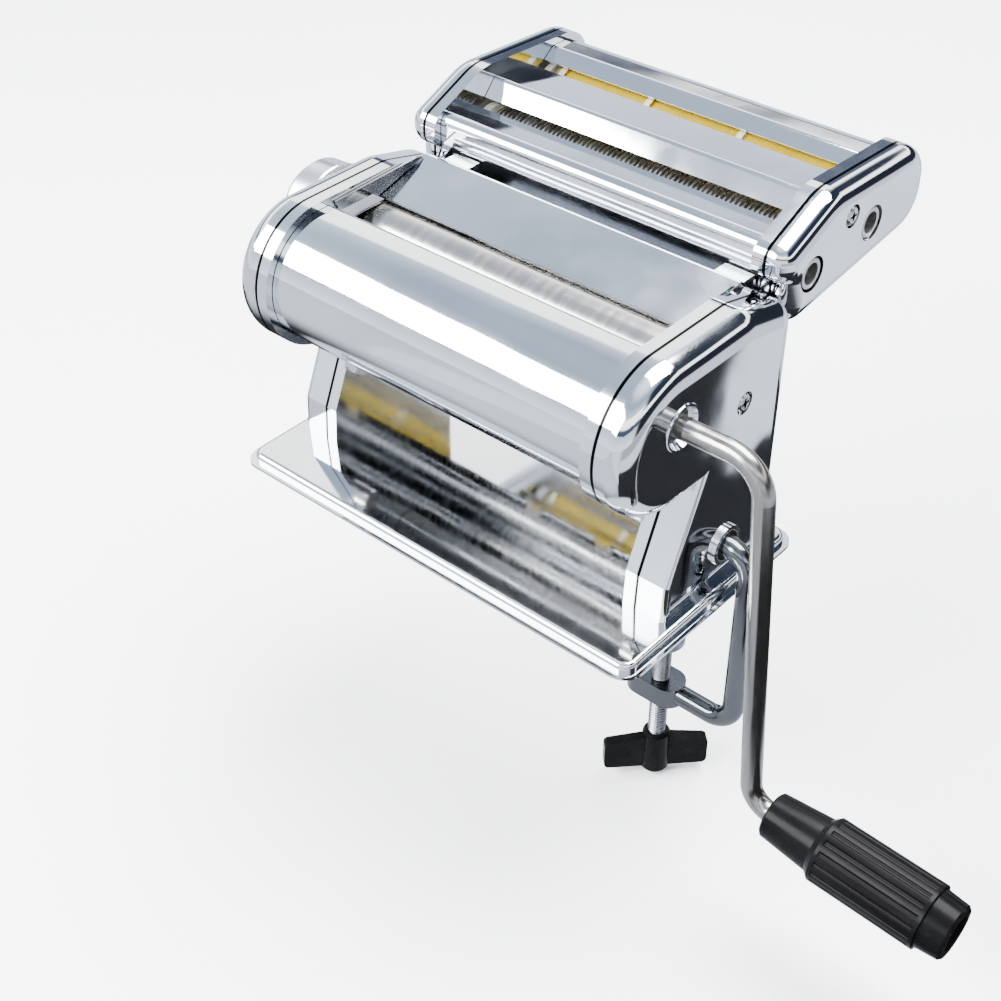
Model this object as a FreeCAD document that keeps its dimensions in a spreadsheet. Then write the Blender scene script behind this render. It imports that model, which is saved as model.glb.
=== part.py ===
import FreeCAD, Part
import math
import os

# Hand-cranked pasta roller: a chromed head with two smooth rollers on a pressed base,
# a hang-on cutter unit behind it, a removable crank and a table clamp.
# X runs along the rollers towards the crank, -Y faces the cook and Z is up.
# The origin is the middle of the base's underside, in the plane of the table top.

SIZES = (
    ("inner_width", 156.0, "clear width between the cheeks"),
    ("cheek_wall", 1.2, "sheet of the cheeks"),
    ("cheek_depth", 5.4, "outward rim of a cheek"),
    ("seam_gap", 0.4, "dark joint between a cheek and its cover"),
    ("cover_depth", 13.5, "drawn depth of a side cover"),
    ("cover_wall", 1.2, "sheet of the side covers"),
    ("cover_edge", 9.0, "outer edge radius of a side cover"),
    ("leg_edge", 3.0, "front edge radius of a side cover's leg"),
    ("cutter_depth", 9.5, "drawn depth of the cutter unit's side covers"),
    ("cutter_edge", 7.5, "outer edge radius of the cutter unit's side covers"),
    ("nose_radius", 31.0, "radius of the head's round front"),
    ("nose_y", -24.5, "centre of the round front"),
    ("nose_z", 89.5, "height of the round front's centre"),
    ("slope_y", 18.0, "where the head's flat top starts to fall"),
    ("rear_y", 46.5, "rear edge of the side panels"),
    ("rear_top_z", 113.5, "rear top corner of the side panels"),
    ("neck_y", -8.0, "inner corner between head and leg"),
    ("knee_y", -24.0, "front of the leg at its knee"),
    ("knee_z", 21.0, "height of the leg's knee"),
    ("foot_y", -25.0, "front of the leg at the base"),
    ("base_width", 209.6, "base along X"),
    ("base_depth", 112.0, "base along Y"),
    ("base_height", 5.0, "top of the base"),
    ("base_wall", 1.2, "sheet of the base"),
    ("base_flange", 2.6, "flat rim round the base"),
    ("base_corner", 9.0, "corner radius of the base"),
    ("base_edge", 2.4, "rolled upper edge of the base"),
    ("sheet_wall", 1.0, "sheet of the front, rear and cutter covers"),
    ("end_gap", 0.3, "gap at each end of a sheet or strip"),
    ("cover_inset", 3.8, "how far the covers lie inside the cheeks' rim"),
    ("roller_radius", 14.0, "smooth rollers"),
    ("roller_shoulder", 3.0, "gap between a roller's end and the cheek"),
    ("roller_length", "=inner_width - 2 * roller_shoulder", "smooth rollers"),
    ("roller_gap", 0.3, "gap at the thinnest setting"),
    ("gap_travel", 2.4, "how far the rear roller moves back"),
    ("front_y", -23.0, "axis of the front roller"),
    ("roller_z", 95.5, "height of the roller axes"),
    ("journal_radius", 6.0, "journals of the smooth rollers"),
    ("running_gap", 0.05, "radial running clearance"),
    ("loose_gap", 0.3, "clearance between pieces that pass each other"),
    ("gear_width", 7.0, "face width of the roller gears"),
    ("gear_teeth", 10.0, "teeth of each roller gear"),
    ("gear_backlash", 0.5, "tooth play at the thinnest setting"),
    ("gear_seat", 7.0, "seat of the roller gears"),
    ("socket_radius", 6.2, "outside of the crank socket"),
    ("outer_face", "=inner_width / 2 + cheek_depth + seam_gap + cover_depth", "outer face of a side cover"),
    ("socket_sink", 2.3, "crank socket behind the cover's face"),
    ("socket_face", "=outer_face - socket_sink", "outer end of the crank sockets"),
    ("rod_radius", 4.25, "crank rod"),
    ("socket_gap", 0.15, "crank rod in its socket"),
    ("socket_depth", 15.0, "depth of the crank socket"),
    ("drive_pin_radius", 1.5, "cross pin in the crank socket"),
    ("crank_reach", 36.3, "crank socket to the upper corner of the crank"),
    ("arm_top_x", "=socket_face + crank_reach", "upper corner of the crank"),
    ("arm_splay", 11.4, "how far the crank's arm leans outwards"),
    ("arm_foot_x", "=arm_top_x + arm_splay", "lower corner of the crank"),
    ("arm_drop", 156.3, "height of the crank's arm"),
    ("crank_bend", 15.0, "upper bend radius of the crank"),
    ("foot_bend", 11.0, "lower bend radius of the crank"),
    ("grip_start", 10.0, "lower corner to the grip"),
    ("grip_length", 80.0, "grip"),
    ("grip_lean", 3.3, "droop of the grip in degrees"),
    ("grip_end_radius", 9.6, "near end of the grip"),
    ("grip_rib_radius", 13.7, "fluted middle of the grip"),
    ("grip_tail_radius", 11.6, "stepped tail of the grip"),
    ("flute_count", 18.0, "flutes round the grip"),
    ("clamp_y", 12.0, "axis of the clamp hole"),
    ("clamp_z", 21.5, "height of the clamp hole"),
    ("clamp_rod_radius", 4.5, "clamp rod"),
    ("clamp_inset", 3.0, "clamp rod's inner end, outside the cheek's inner face"),
    ("clamp_inner_x", "=inner_width / 2 + clamp_inset", "inner end of the clamp rod"),
    ("clamp_low_z", -69.0, "lower arm of the clamp"),
    ("clamp_bend", 11.0, "bend radius of the clamp"),
    ("collar_lip", 1.6, "clamp collar outside the cover"),
    ("bend_gap", 0.1, "clamp collar to the clamp's bend"),
    ("edge_gap", 0.7, "clamp arm past the base's edge"),
    ("clamp_arm_x", "=max(base_width / 2 + clamp_rod_radius + edge_gap; outer_face + collar_lip + bend_gap + clamp_bend)",
     "upright arm of the clamp"),
    ("screw_x", 73.5, "axis of the clamp screw"),
    ("screw_radius", 4.0, "clamp screw"),
    ("pad_top_z", -40.0, "top of the pressure pad"),
    ("wing_top_z", -96.0, "top of the wing knob's hub"),
    ("wing_span", 45.5, "wing knob from tip to tip"),
    ("wing_height", 17.5, "wings of the wing knob"),
    ("wing_turn", 46.0, "direction of the wings in degrees"),
    ("knob_radius", 20.5, "thickness regulator knob"),
    ("dial_height", 2.5, "dial ring on the side cover"),
    ("knob_depth", 14.9, "thickness regulator knob"),
    ("knob_face_x", "=outer_face + dial_height + end_gap + knob_depth",
     "outer face of the regulator knob"),
    ("eccentric_radius", 7.0, "eccentric of the regulator"),
    ("yoke_gap", 0.6, "play of the eccentric in its yoke"),
    ("knob_pull", 3.0, "travel of the knob off its stop"),
    ("cutter_gear_teeth", 12.0, "teeth of each cutter gear"),
    ("cutter_gear_width", 3.4, "face width of the cutter gears"),
    ("cutter_pitch", 17.6, "axis distance of a cutter pair"),
    ("cutter_lead", 13.5, "rear edge of the head to the driven narrow cutter"),
    ("narrow_y", "=rear_y + cutter_lead", "driven narrow cutter"),
    ("narrow_z", 117.3, "height of the narrow cutters"),
    ("pair_distance", 22.4, "rear narrow cutter to driven wide cutter"),
    ("wide_y", "=narrow_y + cutter_pitch + pair_distance", "driven wide cutter"),
    ("pair_rise", 4.5, "wide cutters above the narrow ones"),
    ("wide_z", "=narrow_z + pair_rise", "height of the wide cutters"),
    ("cutter_shoulder", 5.0, "gap between a cutter's end and the cheek"),
    ("cutter_length", "=inner_width - 2 * cutter_shoulder", "cutter rollers"),
    ("cutter_journal", 4.5, "journals of the cutter rollers"),
    ("ring_radius", 9.4, "cutting rings"),
    ("ring_root", 7.8, "bottom of the narrow grooves"),
    ("ring_step", 2.2, "distance from ring to ring"),
    ("ring_width", 0.9, "one narrow ring"),
    ("lane_margin", 4.0, "last dividing ring to the end of the drum"),
    ("lane_width", "=(cutter_length - 2 * lane_margin) / 3", "one lane of the wide cutter"),
    ("lane_ring_width", 3.0, "dividing ring of the wide cutter"),
    ("tie_rod_radius", 4.0, "spacers between the cheeks"),
    ("cutter_tie_radius", 3.5, "spacers of the cutter unit"),
    ("screw_head_radius", 4.0, "heads of the cover screws"),
    ("screw_head_height", 2.2, "heads of the cover screws"),
    ("screw_shank_radius", 1.9, "shanks of the cover screws"),
    ("cover_screw_y", 16.0, "cover screw of the head"),
    ("cover_screw_z", 85.0, "cover screw of the head"),
    ("cutter_screw_lead", 15.5, "cover screw ahead of the driven wide cutter"),
    ("cutter_screw_y", "=wide_y - cutter_screw_lead", "cover screw of the cutter unit"),
    ("cutter_screw_rise", 9.2, "cover screw above the wide cutters"),
    ("cutter_screw_z", "=wide_z + cutter_screw_rise", "cover screw of the cutter unit"),
    ("rail_inset", 10.0, "rails of the cutter unit, inside the cheeks"),
    ("rail_x", "=inner_width / 2 - rail_inset", "rails that carry the cutter unit"),
)

doc = FreeCAD.newDocument("PastaRoller")
sheet = doc.addObject("Spreadsheet::Sheet", "Sizes")
for row, (alias, number, note) in enumerate(SIZES, start=1):
    sheet.set(f"A{row}", note)
    sheet.set(f"B{row}", str(number))
    sheet.setAlias(f"B{row}", alias)
doc.recompute()
size = {alias: float(sheet.get(alias)) for alias, _, _ in SIZES}

subparts = []

# Planes and places that several pieces share
half = size["inner_width"] / 2
rim_x = half + size["cheek_depth"]
cover_x = rim_x + size["seam_gap"]
outer_x = cover_x + size["cover_depth"]
rear_roller_y = size["front_y"] + 2 * size["roller_radius"] + size["roller_gap"]
eccentricity = size["gap_travel"] / 2
knob_y = rear_roller_y + eccentricity
gear_x = cover_x + 0.4
socket_bore = size["rod_radius"] + size["socket_gap"]
cutter_x = cover_x + size["cutter_depth"]
narrow_y, narrow_z = size["narrow_y"], size["narrow_z"]
wide_y, wide_z = size["wide_y"], size["wide_z"]
narrow_back = narrow_y + size["cutter_pitch"]
wide_back = wide_y + size["cutter_pitch"]
cutter_nose_y = size["rear_y"] - 5.0
cutter_neck_y = size["rear_y"] + 1.1
cutter_sheet_y = size["rear_y"] - 0.5
cutter_tail_y = wide_back + 22.9
screw_sink = size["cover_wall"] + 0.7
post_radius = 3.2
lug_wall = 3.2
HALF = "Sizes.inner_width / 2"
SEAM = f"({HALF} + Sizes.cheek_depth + Sizes.seam_gap)"
SPAN = "(Sizes.inner_width - 2 * Sizes.end_gap)"


def vector(x, y, z=0.0):
    return FreeCAD.Vector(x, y, z)


def outline(corners, closed=True):
    """Lines and tangent arcs through corners given as (u, v, radius)."""
    count = len(corners)
    starts, ends, arcs = [], [], []
    for i, (u, v, radius) in enumerate(corners):
        here = vector(u, v)
        if radius <= 0 or (not closed and i in (0, count - 1)):
            starts.append(here)
            ends.append(here)
            arcs.append(None)
            continue
        before = (vector(*corners[i - 1][:2]) - here).normalize()
        after = (vector(*corners[(i + 1) % count][:2]) - here).normalize()
        angle = before.getAngle(after)
        reach = radius / math.tan(angle / 2)
        middle = here + (before + after).normalize() * (radius / math.sin(angle / 2) - radius)
        starts.append(here + before * reach)
        ends.append(here + after * reach)
        arcs.append(Part.Arc(starts[-1], middle, ends[-1]))
    curves = []
    for i in range(count):
        if arcs[i]:
            curves.append(arcs[i])
        if i == count - 1 and not closed:
            break
        start, end = ends[i], starts[(i + 1) % count]
        if start.distanceToPoint(end) > 1e-6:
            curves.append(Part.LineSegment(start, end))
    return curves


def shifted(corners, gap, closed=True):
    """The corners moved to the left of their path by gap, with radii that stay parallel."""
    count = len(corners)
    result = []
    for i, (u, v, radius) in enumerate(corners):
        here = vector(u, v)
        normals = []
        turns = []
        for j, k in ((i - 1, i), (i, i + 1)):
            if not closed and (j < 0 or k >= count):
                continue
            step = (vector(*corners[k % count][:2]) - vector(*corners[j % count][:2])).normalize()
            turns.append(step)
            normals.append(vector(-step.y, step.x))
        if len(normals) == 1:
            moved = here + normals[0] * gap
            result.append((moved.x, moved.y, 0.0))
            continue
        scale = gap / (1 + normals[0].dot(normals[1]))
        moved = here + (normals[0] + normals[1]) * scale
        left = turns[0].cross(turns[1]).z > 0
        parallel = radius - gap if left else radius + gap
        result.append((moved.x, moved.y, max(parallel, 0.0) if radius else 0.0))
    return result


def strip(path, wall):
    """Closed outline of a bent sheet along an open path."""
    one = shifted(path, wall / 2, closed=False)
    other = shifted(path, -wall / 2, closed=False)
    return outline(one + other[::-1])


def circle(u, v, radius):
    return [Part.Circle(vector(u, v), vector(0, 0, 1), radius)]


def slot(u, v, radius, travel):
    """Obround opening that runs from (u, v) by travel along u."""
    top = radius + v
    low = v - radius
    corners = [(u - radius, low, radius), (u + travel + radius, low, radius),
               (u + travel + radius, top, radius), (u - radius, top, radius)]
    return outline(corners)


def polygon(points):
    return outline([(u, v, 0.0) for u, v in points])


def rectangle(u, v, width, height, radius=0.0):
    """Rectangle about its centre."""
    w, d = width / 2, height / 2
    return outline([(u - w, v - d, radius), (u + w, v - d, radius),
                    (u + w, v + d, radius), (u - w, v + d, radius)])


def body(name, listed=True):
    """One solid; a listed one is written as a sub-part of its own."""
    made = doc.addObject("PartDesign::Body", name)
    made.Label = name
    if listed:
        subparts.append(made)
    return made


def origin_feature(owner, role):
    return next(f for f in owner.Origin.OriginFeatures if f.Role == role)


def sketch(owner, role, start, curves):
    """Sketch parallel to an origin plane; start is an expression along the plane's normal."""
    drawn = owner.newObject("Sketcher::SketchObject", owner.Label + "_sketch")
    drawn.AttachmentSupport = [(origin_feature(owner, role), "")]
    drawn.MapMode = "FlatFace"
    drawn.setExpression("AttachmentOffset.Base.z", str(start))
    for curve in curves:
        drawn.addGeometry(curve, False)
    return drawn


def pad(owner, role, curves, start, length, side=1):
    made = owner.newObject("PartDesign::Pad", owner.Label + "_pad")
    made.Profile = sketch(owner, role, start, curves)
    made.setExpression("Length", str(length))
    made.Reversed = side < 0
    return made


def pocket(owner, role, curves, start, length, side=1):
    """Cut that runs the same way as a pad of the same start, length and side."""
    made = owner.newObject("PartDesign::Pocket", owner.Label + "_pocket")
    made.Profile = sketch(owner, role, start, curves)
    made.setExpression("Length", str(length))
    made.Reversed = side > 0
    return made


def turn(owner, points, axis="X_Axis"):
    """Solid turned about the body's X axis from (along, radius) points, or about Z in XZ."""
    plane = "XY_Plane" if axis == "X_Axis" else "XZ_Plane"
    made = owner.newObject("PartDesign::Revolution", owner.Label + "_turned")
    made.Profile = sketch(owner, plane, 0, polygon(points))
    made.ReferenceAxis = (origin_feature(owner, axis), [""])
    made.Angle = 360
    return made


def place(owner, x=0, y=0, z=0):
    """Bind a body's place to expressions."""
    for letter, value in zip("xyz", (x, y, z)):
        owner.setExpression("Placement.Base." + letter, str(value))


def group(name, members):
    made = doc.addObject("Part::Compound", name)
    made.Label = name
    made.Links = members
    subparts.append(made)


def edges_where(feature, test):
    """Names of the edges whose every vertex passes the test."""
    doc.recompute()
    return [f"Edge{i}" for i, edge in enumerate(feature.Shape.Edges, start=1)
            if all(test(v.Point) for v in edge.Vertexes)]


def fillet(owner, feature, names, radius):
    made = owner.newObject("PartDesign::Fillet", owner.Label + "_fillet")
    made.Base = (feature, names)
    made.setExpression("Radius", radius)
    return made


def sheet_cover(name, path):
    """Bent sheet that spans the cheeks."""
    made = body(name)
    pad(made, "YZ_Plane", strip(path, size["sheet_wall"]), f"-{SPAN} / 2", SPAN)
    return made


def sided(value, side):
    """The expression of a place on the crank side or its mirror image."""
    return value if side > 0 else f"-({value})"


SIDES = (("right", 1), ("left", -1))


# Side panels of the head

def panel_corners():
    radius = size["nose_radius"]
    top, low = size["nose_z"] + radius, size["nose_z"] - radius
    front = size["nose_y"] - radius
    return [(front, top, radius), (front, low, radius), (size["neck_y"], low, 0.0),
            (size["knee_y"], size["knee_z"], 0.0), (size["foot_y"], size["base_height"], 0.0),
            (size["rear_y"], size["base_height"], 0.0), (size["rear_y"], size["rear_top_z"], 10.0),
            (size["slope_y"], top, 20.0)]


def cutter_corners():
    return [(cutter_nose_y, narrow_z + 13.5, 7.0), (cutter_nose_y, narrow_z + 1.7, 6.8),
            (cutter_neck_y, narrow_z - 0.3, 1.0), (cutter_neck_y, narrow_z - 20.1, 8.0),
            (cutter_tail_y, wide_z - 14.1, 17.0), (cutter_tail_y, wide_z + 19.0, 14.0),
            (narrow_y + 12.0, narrow_z + 26.5, 25.0)]


def flanged_plate(name, corners, side):
    """Cheek: a flat plate with a rim turned outwards all round."""
    made = body(name)
    start = sided(HALF, side)
    pad(made, "YZ_Plane", outline(corners), start, "Sizes.cheek_depth", side)
    inside = outline(shifted(corners, size["cheek_wall"]))
    floor = sided(f"{HALF} + Sizes.cheek_wall", side)
    pocket(made, "YZ_Plane", inside, floor, "Sizes.cheek_depth", side)
    return made


def drawn_block(made, corners, side, depth, edge, leg_edge):
    """Block on a cover's back plane, with a rounded outer edge and a sharper one down a leg."""
    block = pad(made, "YZ_Plane", outline(corners), sided(SEAM, side), depth, side)
    doc.recompute()
    face = max(side * v.X for v in block.Shape.Vertexes)
    low = size["nose_z"] - size["nose_radius"]
    outer = edges_where(block, lambda p: side * p.x > face - 1e-4)
    leg, foot = [], []
    if leg_edge:
        foot = edges_where(block, lambda p: p.z < size["base_height"] + 2.0)
        leg = edges_where(block, lambda p: p.z < low + 2.0 and size["foot_y"] - 1.0 < p.y < size["neck_y"] + 3.0)
        leg = [n for n in leg if block.Shape.getElement(n).BoundBox.ZLength > 5.0]
    round_edges = [n for n in outer if n not in foot and n not in leg]
    rounded = fillet(made, block, round_edges, edge)
    if leg_edge:
        front = edges_where(rounded, lambda p: side * p.x > face - 1e-4 and p.z < low + 2.0 and p.y < 0)
        front = [n for n in front if rounded.Shape.getElement(n).BoundBox.ZLength > 5.0]
        fillet(made, rounded, front, leg_edge)


def drawn_cover(name, corners, side, depth, edge, leg_edge=None):
    """Side cover drawn from sheet: a flat face, a rounded edge and an open back."""
    made = body(name)
    drawn_block(made, corners, side, depth, edge, leg_edge)
    room = body(name + "_room", listed=False)
    thin = " - Sizes.cover_wall"
    drawn_block(room, shifted(corners, size["cover_wall"]), side, depth + thin, edge + thin,
                leg_edge and leg_edge + thin)
    hollow = made.newObject("PartDesign::Boolean", name + "_hollow")
    hollow.Type = "Cut"
    hollow.addObject(room)
    return made


def cover_hole(made, y, z, radius, side, face):
    """Round hole through the outer face of a side cover."""
    wall = size["cover_wall"]
    pocket(made, "YZ_Plane", circle(y, z, radius), side * (face - 3 * wall), 4 * wall, side)


def cover_post(made, foot, screw, side, face):
    """Post on a cheek with a lug that reaches under the cover screw, clear of the gears."""
    seat = face - screw_sink
    height = seat - half - size["cheek_wall"]
    pad(made, "YZ_Plane", circle(*foot, post_radius), sided(f"{HALF} + Sizes.cheek_wall", side), height, side)
    step = vector(*screw) - vector(*foot)
    if step.Length > 0:
        across = vector(-step.y, step.x).normalize() * post_radius
        along = vector(step.x, step.y).normalize() * post_radius
        start, end = vector(*foot), vector(*screw)
        lug = [Part.LineSegment(start - across, end - across), Part.Arc(end - across, end + along, end + across),
               Part.LineSegment(end + across, start + across),
               Part.Arc(start + across, start - along, start - across)]
        pad(made, "YZ_Plane", lug, side * (seat - lug_wall), lug_wall, side)
    bore = circle(*screw, size["screw_shank_radius"] + size["running_gap"])
    pocket(made, "YZ_Plane", bore, side * (seat - lug_wall), lug_wall + 1.0, side)


def cheek_hole(made, curves, side):
    start = sided(f"{HALF} - Sizes.cheek_wall", side)
    pocket(made, "YZ_Plane", curves, start, "3 * Sizes.cheek_wall", side)


bush_radius = size["journal_radius"] + 3.0
slide_bush_radius = size["journal_radius"] + 2.5
bar_y = rear_roller_y + 20.5
bar_radius = 4.0
head_hole = size["screw_head_radius"] + 0.7
clamp_bush_radius = size["clamp_rod_radius"] + 2.4
dial_hub_radius = 7.0
dish_radius = size["socket_radius"] + size["loose_gap"] + 1.9
rear_wall_y = size["rear_y"] - 7.8
fixing = {"right": ((24.0, 80.0), (size["cover_screw_y"], size["cover_screw_z"])),
          "left": ((30.0, 68.0), (30.0, 68.0))}
head_spacers = ((size["nose_y"] - 21.5, size["nose_z"]), (rear_wall_y - 5.7, 78.0), (rear_wall_y - 5.7, 52.0))
cutter_spacers = ((narrow_y - 6.5, narrow_z - 12.8), (wide_y - 11.2, wide_z - 14.8),
                  (wide_back + 12.9, wide_z - 6.8))

for word, side in SIDES:
    cheek = flanged_plate("cheek_" + word, panel_corners(), side)
    cheek_hole(cheek, circle(size["front_y"], size["roller_z"], bush_radius + size["running_gap"]), side)
    slack = size["journal_radius"] + 1.0
    cheek_hole(cheek, slot(rear_roller_y, size["roller_z"], slack, size["gap_travel"]), side)
    cheek_hole(cheek, slot(bar_y, size["roller_z"], bar_radius + 1.0, size["gap_travel"]), side)
    for y, z in head_spacers:
        cheek_hole(cheek, circle(y, z, size["screw_shank_radius"] + size["running_gap"]), side)
    post_foot, screw_place = fixing[word]
    cover_post(cheek, post_foot, screw_place, side, outer_x)

    cover = drawn_cover("side_cover_" + word, panel_corners(), side, "Sizes.cover_depth", "Sizes.cover_edge",
                        "Sizes.leg_edge")
    holes = [(*screw_place, head_hole)]
    if side > 0:
        holes.append((size["front_y"], size["roller_z"], dish_radius + 0.05))
        holes.append((size["clamp_y"], size["clamp_z"], clamp_bush_radius + size["running_gap"]))
    else:
        holes.append((knob_y, size["roller_z"], dial_hub_radius + size["running_gap"]))
    for y, z, radius in holes:
        cover_hole(cover, y, z, radius, side, outer_x)


# Pressed base

def base_rectangle(inset):
    return rectangle(0, 0, size["base_width"] - 2 * inset, size["base_depth"] - 2 * inset,
                     size["base_corner"] - inset)


base = body("base_plate")
pad(base, "XY_Plane", base_rectangle(0), 0, "Sizes.base_wall")
step = pad(base, "XY_Plane", base_rectangle(size["base_flange"]), 0, "Sizes.base_height")
top_edges = edges_where(step, lambda p: abs(p.z - size["base_height"]) < 1e-4)
fillet(base, step, top_edges, "Sizes.base_edge")
hollow = size["base_flange"] + size["base_wall"] + 1.0
pocket(base, "XY_Plane", base_rectangle(hollow), 0, "Sizes.base_height - Sizes.base_wall")


# Sheet covers of the head

wall = size["sheet_wall"]
bow = size["nose_radius"] - size["cover_inset"]
bow_top, bow_low = size["nose_z"] + bow, size["nose_z"] - bow
bow_front = size["nose_y"] - bow
lip_y = size["front_y"] + 8.0
sheet_cover("front_cover", [
    (lip_y, bow_top - 4.2, 0.0), (lip_y - 3.6, bow_top, 2.5), (bow_front, bow_top, bow),
    (bow_front, bow_low, bow), (size["nose_y"] + 4.5, bow_low, 1.5), (size["nose_y"] + 7.0, bow_low + 2.7, 0.0)])

tray_low = (rear_roller_y + 2.7, size["roller_z"] + size["roller_radius"] + 1.2)
tray_high = (size["rear_y"] - 9.0, size["nose_z"] + size["nose_radius"] - 2.0)
rear = sheet_cover("rear_cover", [
    (*tray_low, 0.0), (*tray_high, 2.0), (rear_wall_y, tray_high[1] - 3.0, 2.0), (rear_wall_y, 47.0, 0.0)])
for notch_x in (-19.8, 19.8):
    notch = rectangle(notch_x, 47.0, 8.0, 10.0)
    pocket(rear, "XZ_Plane", notch, -(rear_wall_y + 2.0), 4.0)


def tray_height(y):
    share = (y - tray_low[0]) / (tray_high[0] - tray_low[0])
    return tray_low[1] + share * (tray_high[1] - tray_low[1])


def dough_guide(word, side):
    """Folded plate that keeps the dough off the rollers' ends and runs out along the tray."""
    made = body("dough_guide_" + word, listed=False)
    outside = side * (half - size["end_gap"])
    low = size["roller_z"] + size["roller_radius"] + 0.6
    high = bow_top + 1.4
    start_y, fold_y, end_y = lip_y + 1.4, tray_low[0] - 1.2, tray_high[0] - 4.0
    lift = wall / 2 + 2 * size["end_gap"]
    plate = polygon([(start_y, low), (fold_y, low), (fold_y, tray_height(fold_y) + lift),
                     (end_y, tray_height(end_y) + lift), (end_y - 4.0, high + 1.4), (start_y - 2.9, high)])
    pad(made, "YZ_Plane", plate, outside, wall, -side)
    pad(made, "YZ_Plane", polygon([(start_y, low), (fold_y, low), (fold_y, low + wall), (start_y, low + wall)]),
        outside, 4.2, -side)
    return made


group("dough_guides", [dough_guide(word, side) for word, side in SIDES])

scraper_z = size["roller_z"] - size["roller_radius"] - 0.5
sheet_cover("front_scraper", [
    (size["front_y"] - 2.2, scraper_z, 0.0), (size["front_y"] - 7.0, scraper_z - 12.5, 1.5),
    (size["front_y"] - 14.0, scraper_z - 12.5, 0.0)])
sheet_cover("rear_scraper", [
    (rear_roller_y + 1.2, scraper_z, 0.0), (rear_roller_y + 6.0, scraper_z - 12.0, 1.5),
    (rear_roller_y + 13.0, scraper_z - 12.0, 0.0)])


# Spacers between the cheeks, with a screw at each end

def spacer(name, y, z, radius):
    made = body(name, listed=False)
    shank, depth = size["screw_shank_radius"] + size["running_gap"], 12.0
    turn(made, [(-half, shank), (-half, radius), (half, radius), (half, shank),
                (half - depth, shank), (half - depth, 0.0), (depth - half, 0.0), (depth - half, shank)])
    place(made, 0, y, z)
    return made


def spacer_screw(name, y, z, side):
    made = body(name, listed=False)
    seat = side * (half + size["cheek_wall"] + 0.05)
    head = seat + side * size["screw_head_height"]
    tip = seat - side * 10.0
    shank = size["screw_shank_radius"]
    turn(made, [(tip, 0.0), (tip, shank), (seat, shank), (seat, 3.5), (head, 3.5), (head, 0.0)])
    place(made, 0, y, z)
    return made


tie_rods = [spacer(f"tie_rod_{i}", y, z, size["tie_rod_radius"]) for i, (y, z) in enumerate(head_spacers)]
tie_screws = [spacer_screw(f"tie_screw_{i}_{word}", y, z, side)
              for i, (y, z) in enumerate(head_spacers) for word, side in SIDES]
group("tie_rods", tie_rods)
group("tie_screws", tie_screws)


# Screws of the side covers, in posts that stand on the cheeks

def cover_screw(name, y, z, side, face):
    made = body(name, listed=False)
    seat = face - screw_sink
    head, tip = seat + size["screw_head_height"], seat - lug_wall + 0.2
    shank, rim = size["screw_shank_radius"], size["screw_head_radius"]
    turn(made, [(side * tip, 0.0), (side * tip, shank), (side * seat, shank), (side * seat, rim),
                (side * (head - 0.9), rim), (side * head, rim - 1.3), (side * head, 0.0)])
    place(made, 0, y, z)
    return made


group("cover_screws", [cover_screw("cover_screw_" + word, *fixing[word][1], side, outer_x) for word, side in SIDES])


def inner_stud(word, side):
    """Round nut on the inside of a leg."""
    made = body("stud_" + word, listed=False)
    foot, end = half, half - 6.5
    turn(made, [(side * foot, 0.0), (side * foot, 5.0), (side * (end + 0.8), 5.0), (side * end, 4.2),
                (side * end, 0.0)])
    place(made, 0, -12.0, 41.0)
    return made


group("leg_studs", [inner_stud(word, side) for word, side in SIDES])


# Smooth rollers with their journals, bushes and gears

def roller_bush(name, y, inner, outer, radius, flange, listed=True):
    """Plain bush, with a flange at its inner end where flange is larger than its radius."""
    made = body(name, listed)
    bore = size["journal_radius"] + size["running_gap"]
    lip = inner + (1.6 if inner > 0 else -1.6)
    turn(made, [(inner, bore), (inner, flange), (lip, flange), (lip, radius), (outer, radius), (outer, bore)])
    place(made, 0, y, "Sizes.roller_z")
    return made


bush_face = half - 1.65
group("roller_bushes", [roller_bush("roller_bush_" + word, "Sizes.front_y", side * bush_face,
                                    side * (half + 4.8), bush_radius, bush_radius + 2.0, False)
                        for word, side in SIDES])

end_x = size["roller_length"] / 2
left_end = -(rim_x - size["end_gap"])
journal, seat_radius = size["journal_radius"], size["gear_seat"]
gear_end = gear_x + size["gear_width"]
REAR_Y = "Sizes.front_y + 2 * Sizes.roller_radius + Sizes.roller_gap"

front = body("front_roller")
socket_floor = size["socket_face"] - size["socket_depth"]
turn(front, [(left_end, 0.0), (left_end, journal), (-end_x, journal), (-end_x, size["roller_radius"]),
             (end_x, size["roller_radius"]), (end_x, journal), (gear_x, journal), (gear_x, seat_radius),
             (gear_end, seat_radius), (gear_end, size["socket_radius"]),
             (size["socket_face"], size["socket_radius"]), (size["socket_face"], socket_bore),
             (socket_floor, socket_bore), (socket_floor, 0.0)])
place(front, 0, "Sizes.front_y", "Sizes.roller_z")

back = body("rear_roller")
turn(back, [(left_end, 0.0), (left_end, journal), (-end_x, journal), (-end_x, size["roller_radius"]),
            (end_x, size["roller_radius"]), (end_x, journal), (gear_x, journal), (gear_x, seat_radius),
            (gear_end, seat_radius), (gear_end, 0.0)])
place(back, 0, REAR_Y, "Sizes.roller_z")

pin_x = socket_floor + 6.0
pin_hole = size["drive_pin_radius"] + size["running_gap"]
pocket(front, "XZ_Plane", circle(pin_x, 0, pin_hole), -2 * journal, 4 * journal)
pin = body("drive_pin")
pin_end = seat_radius - 0.2
turn(pin, [(-pin_end, 0.0), (-pin_end, size["drive_pin_radius"]),
           (pin_end, size["drive_pin_radius"]), (pin_end, 0.0)])
pin.Placement = FreeCAD.Placement(vector(0, 0), FreeCAD.Rotation(vector(0, 0, 1), 90))
place(pin, pin_x, "Sizes.front_y", "Sizes.roller_z")


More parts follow.
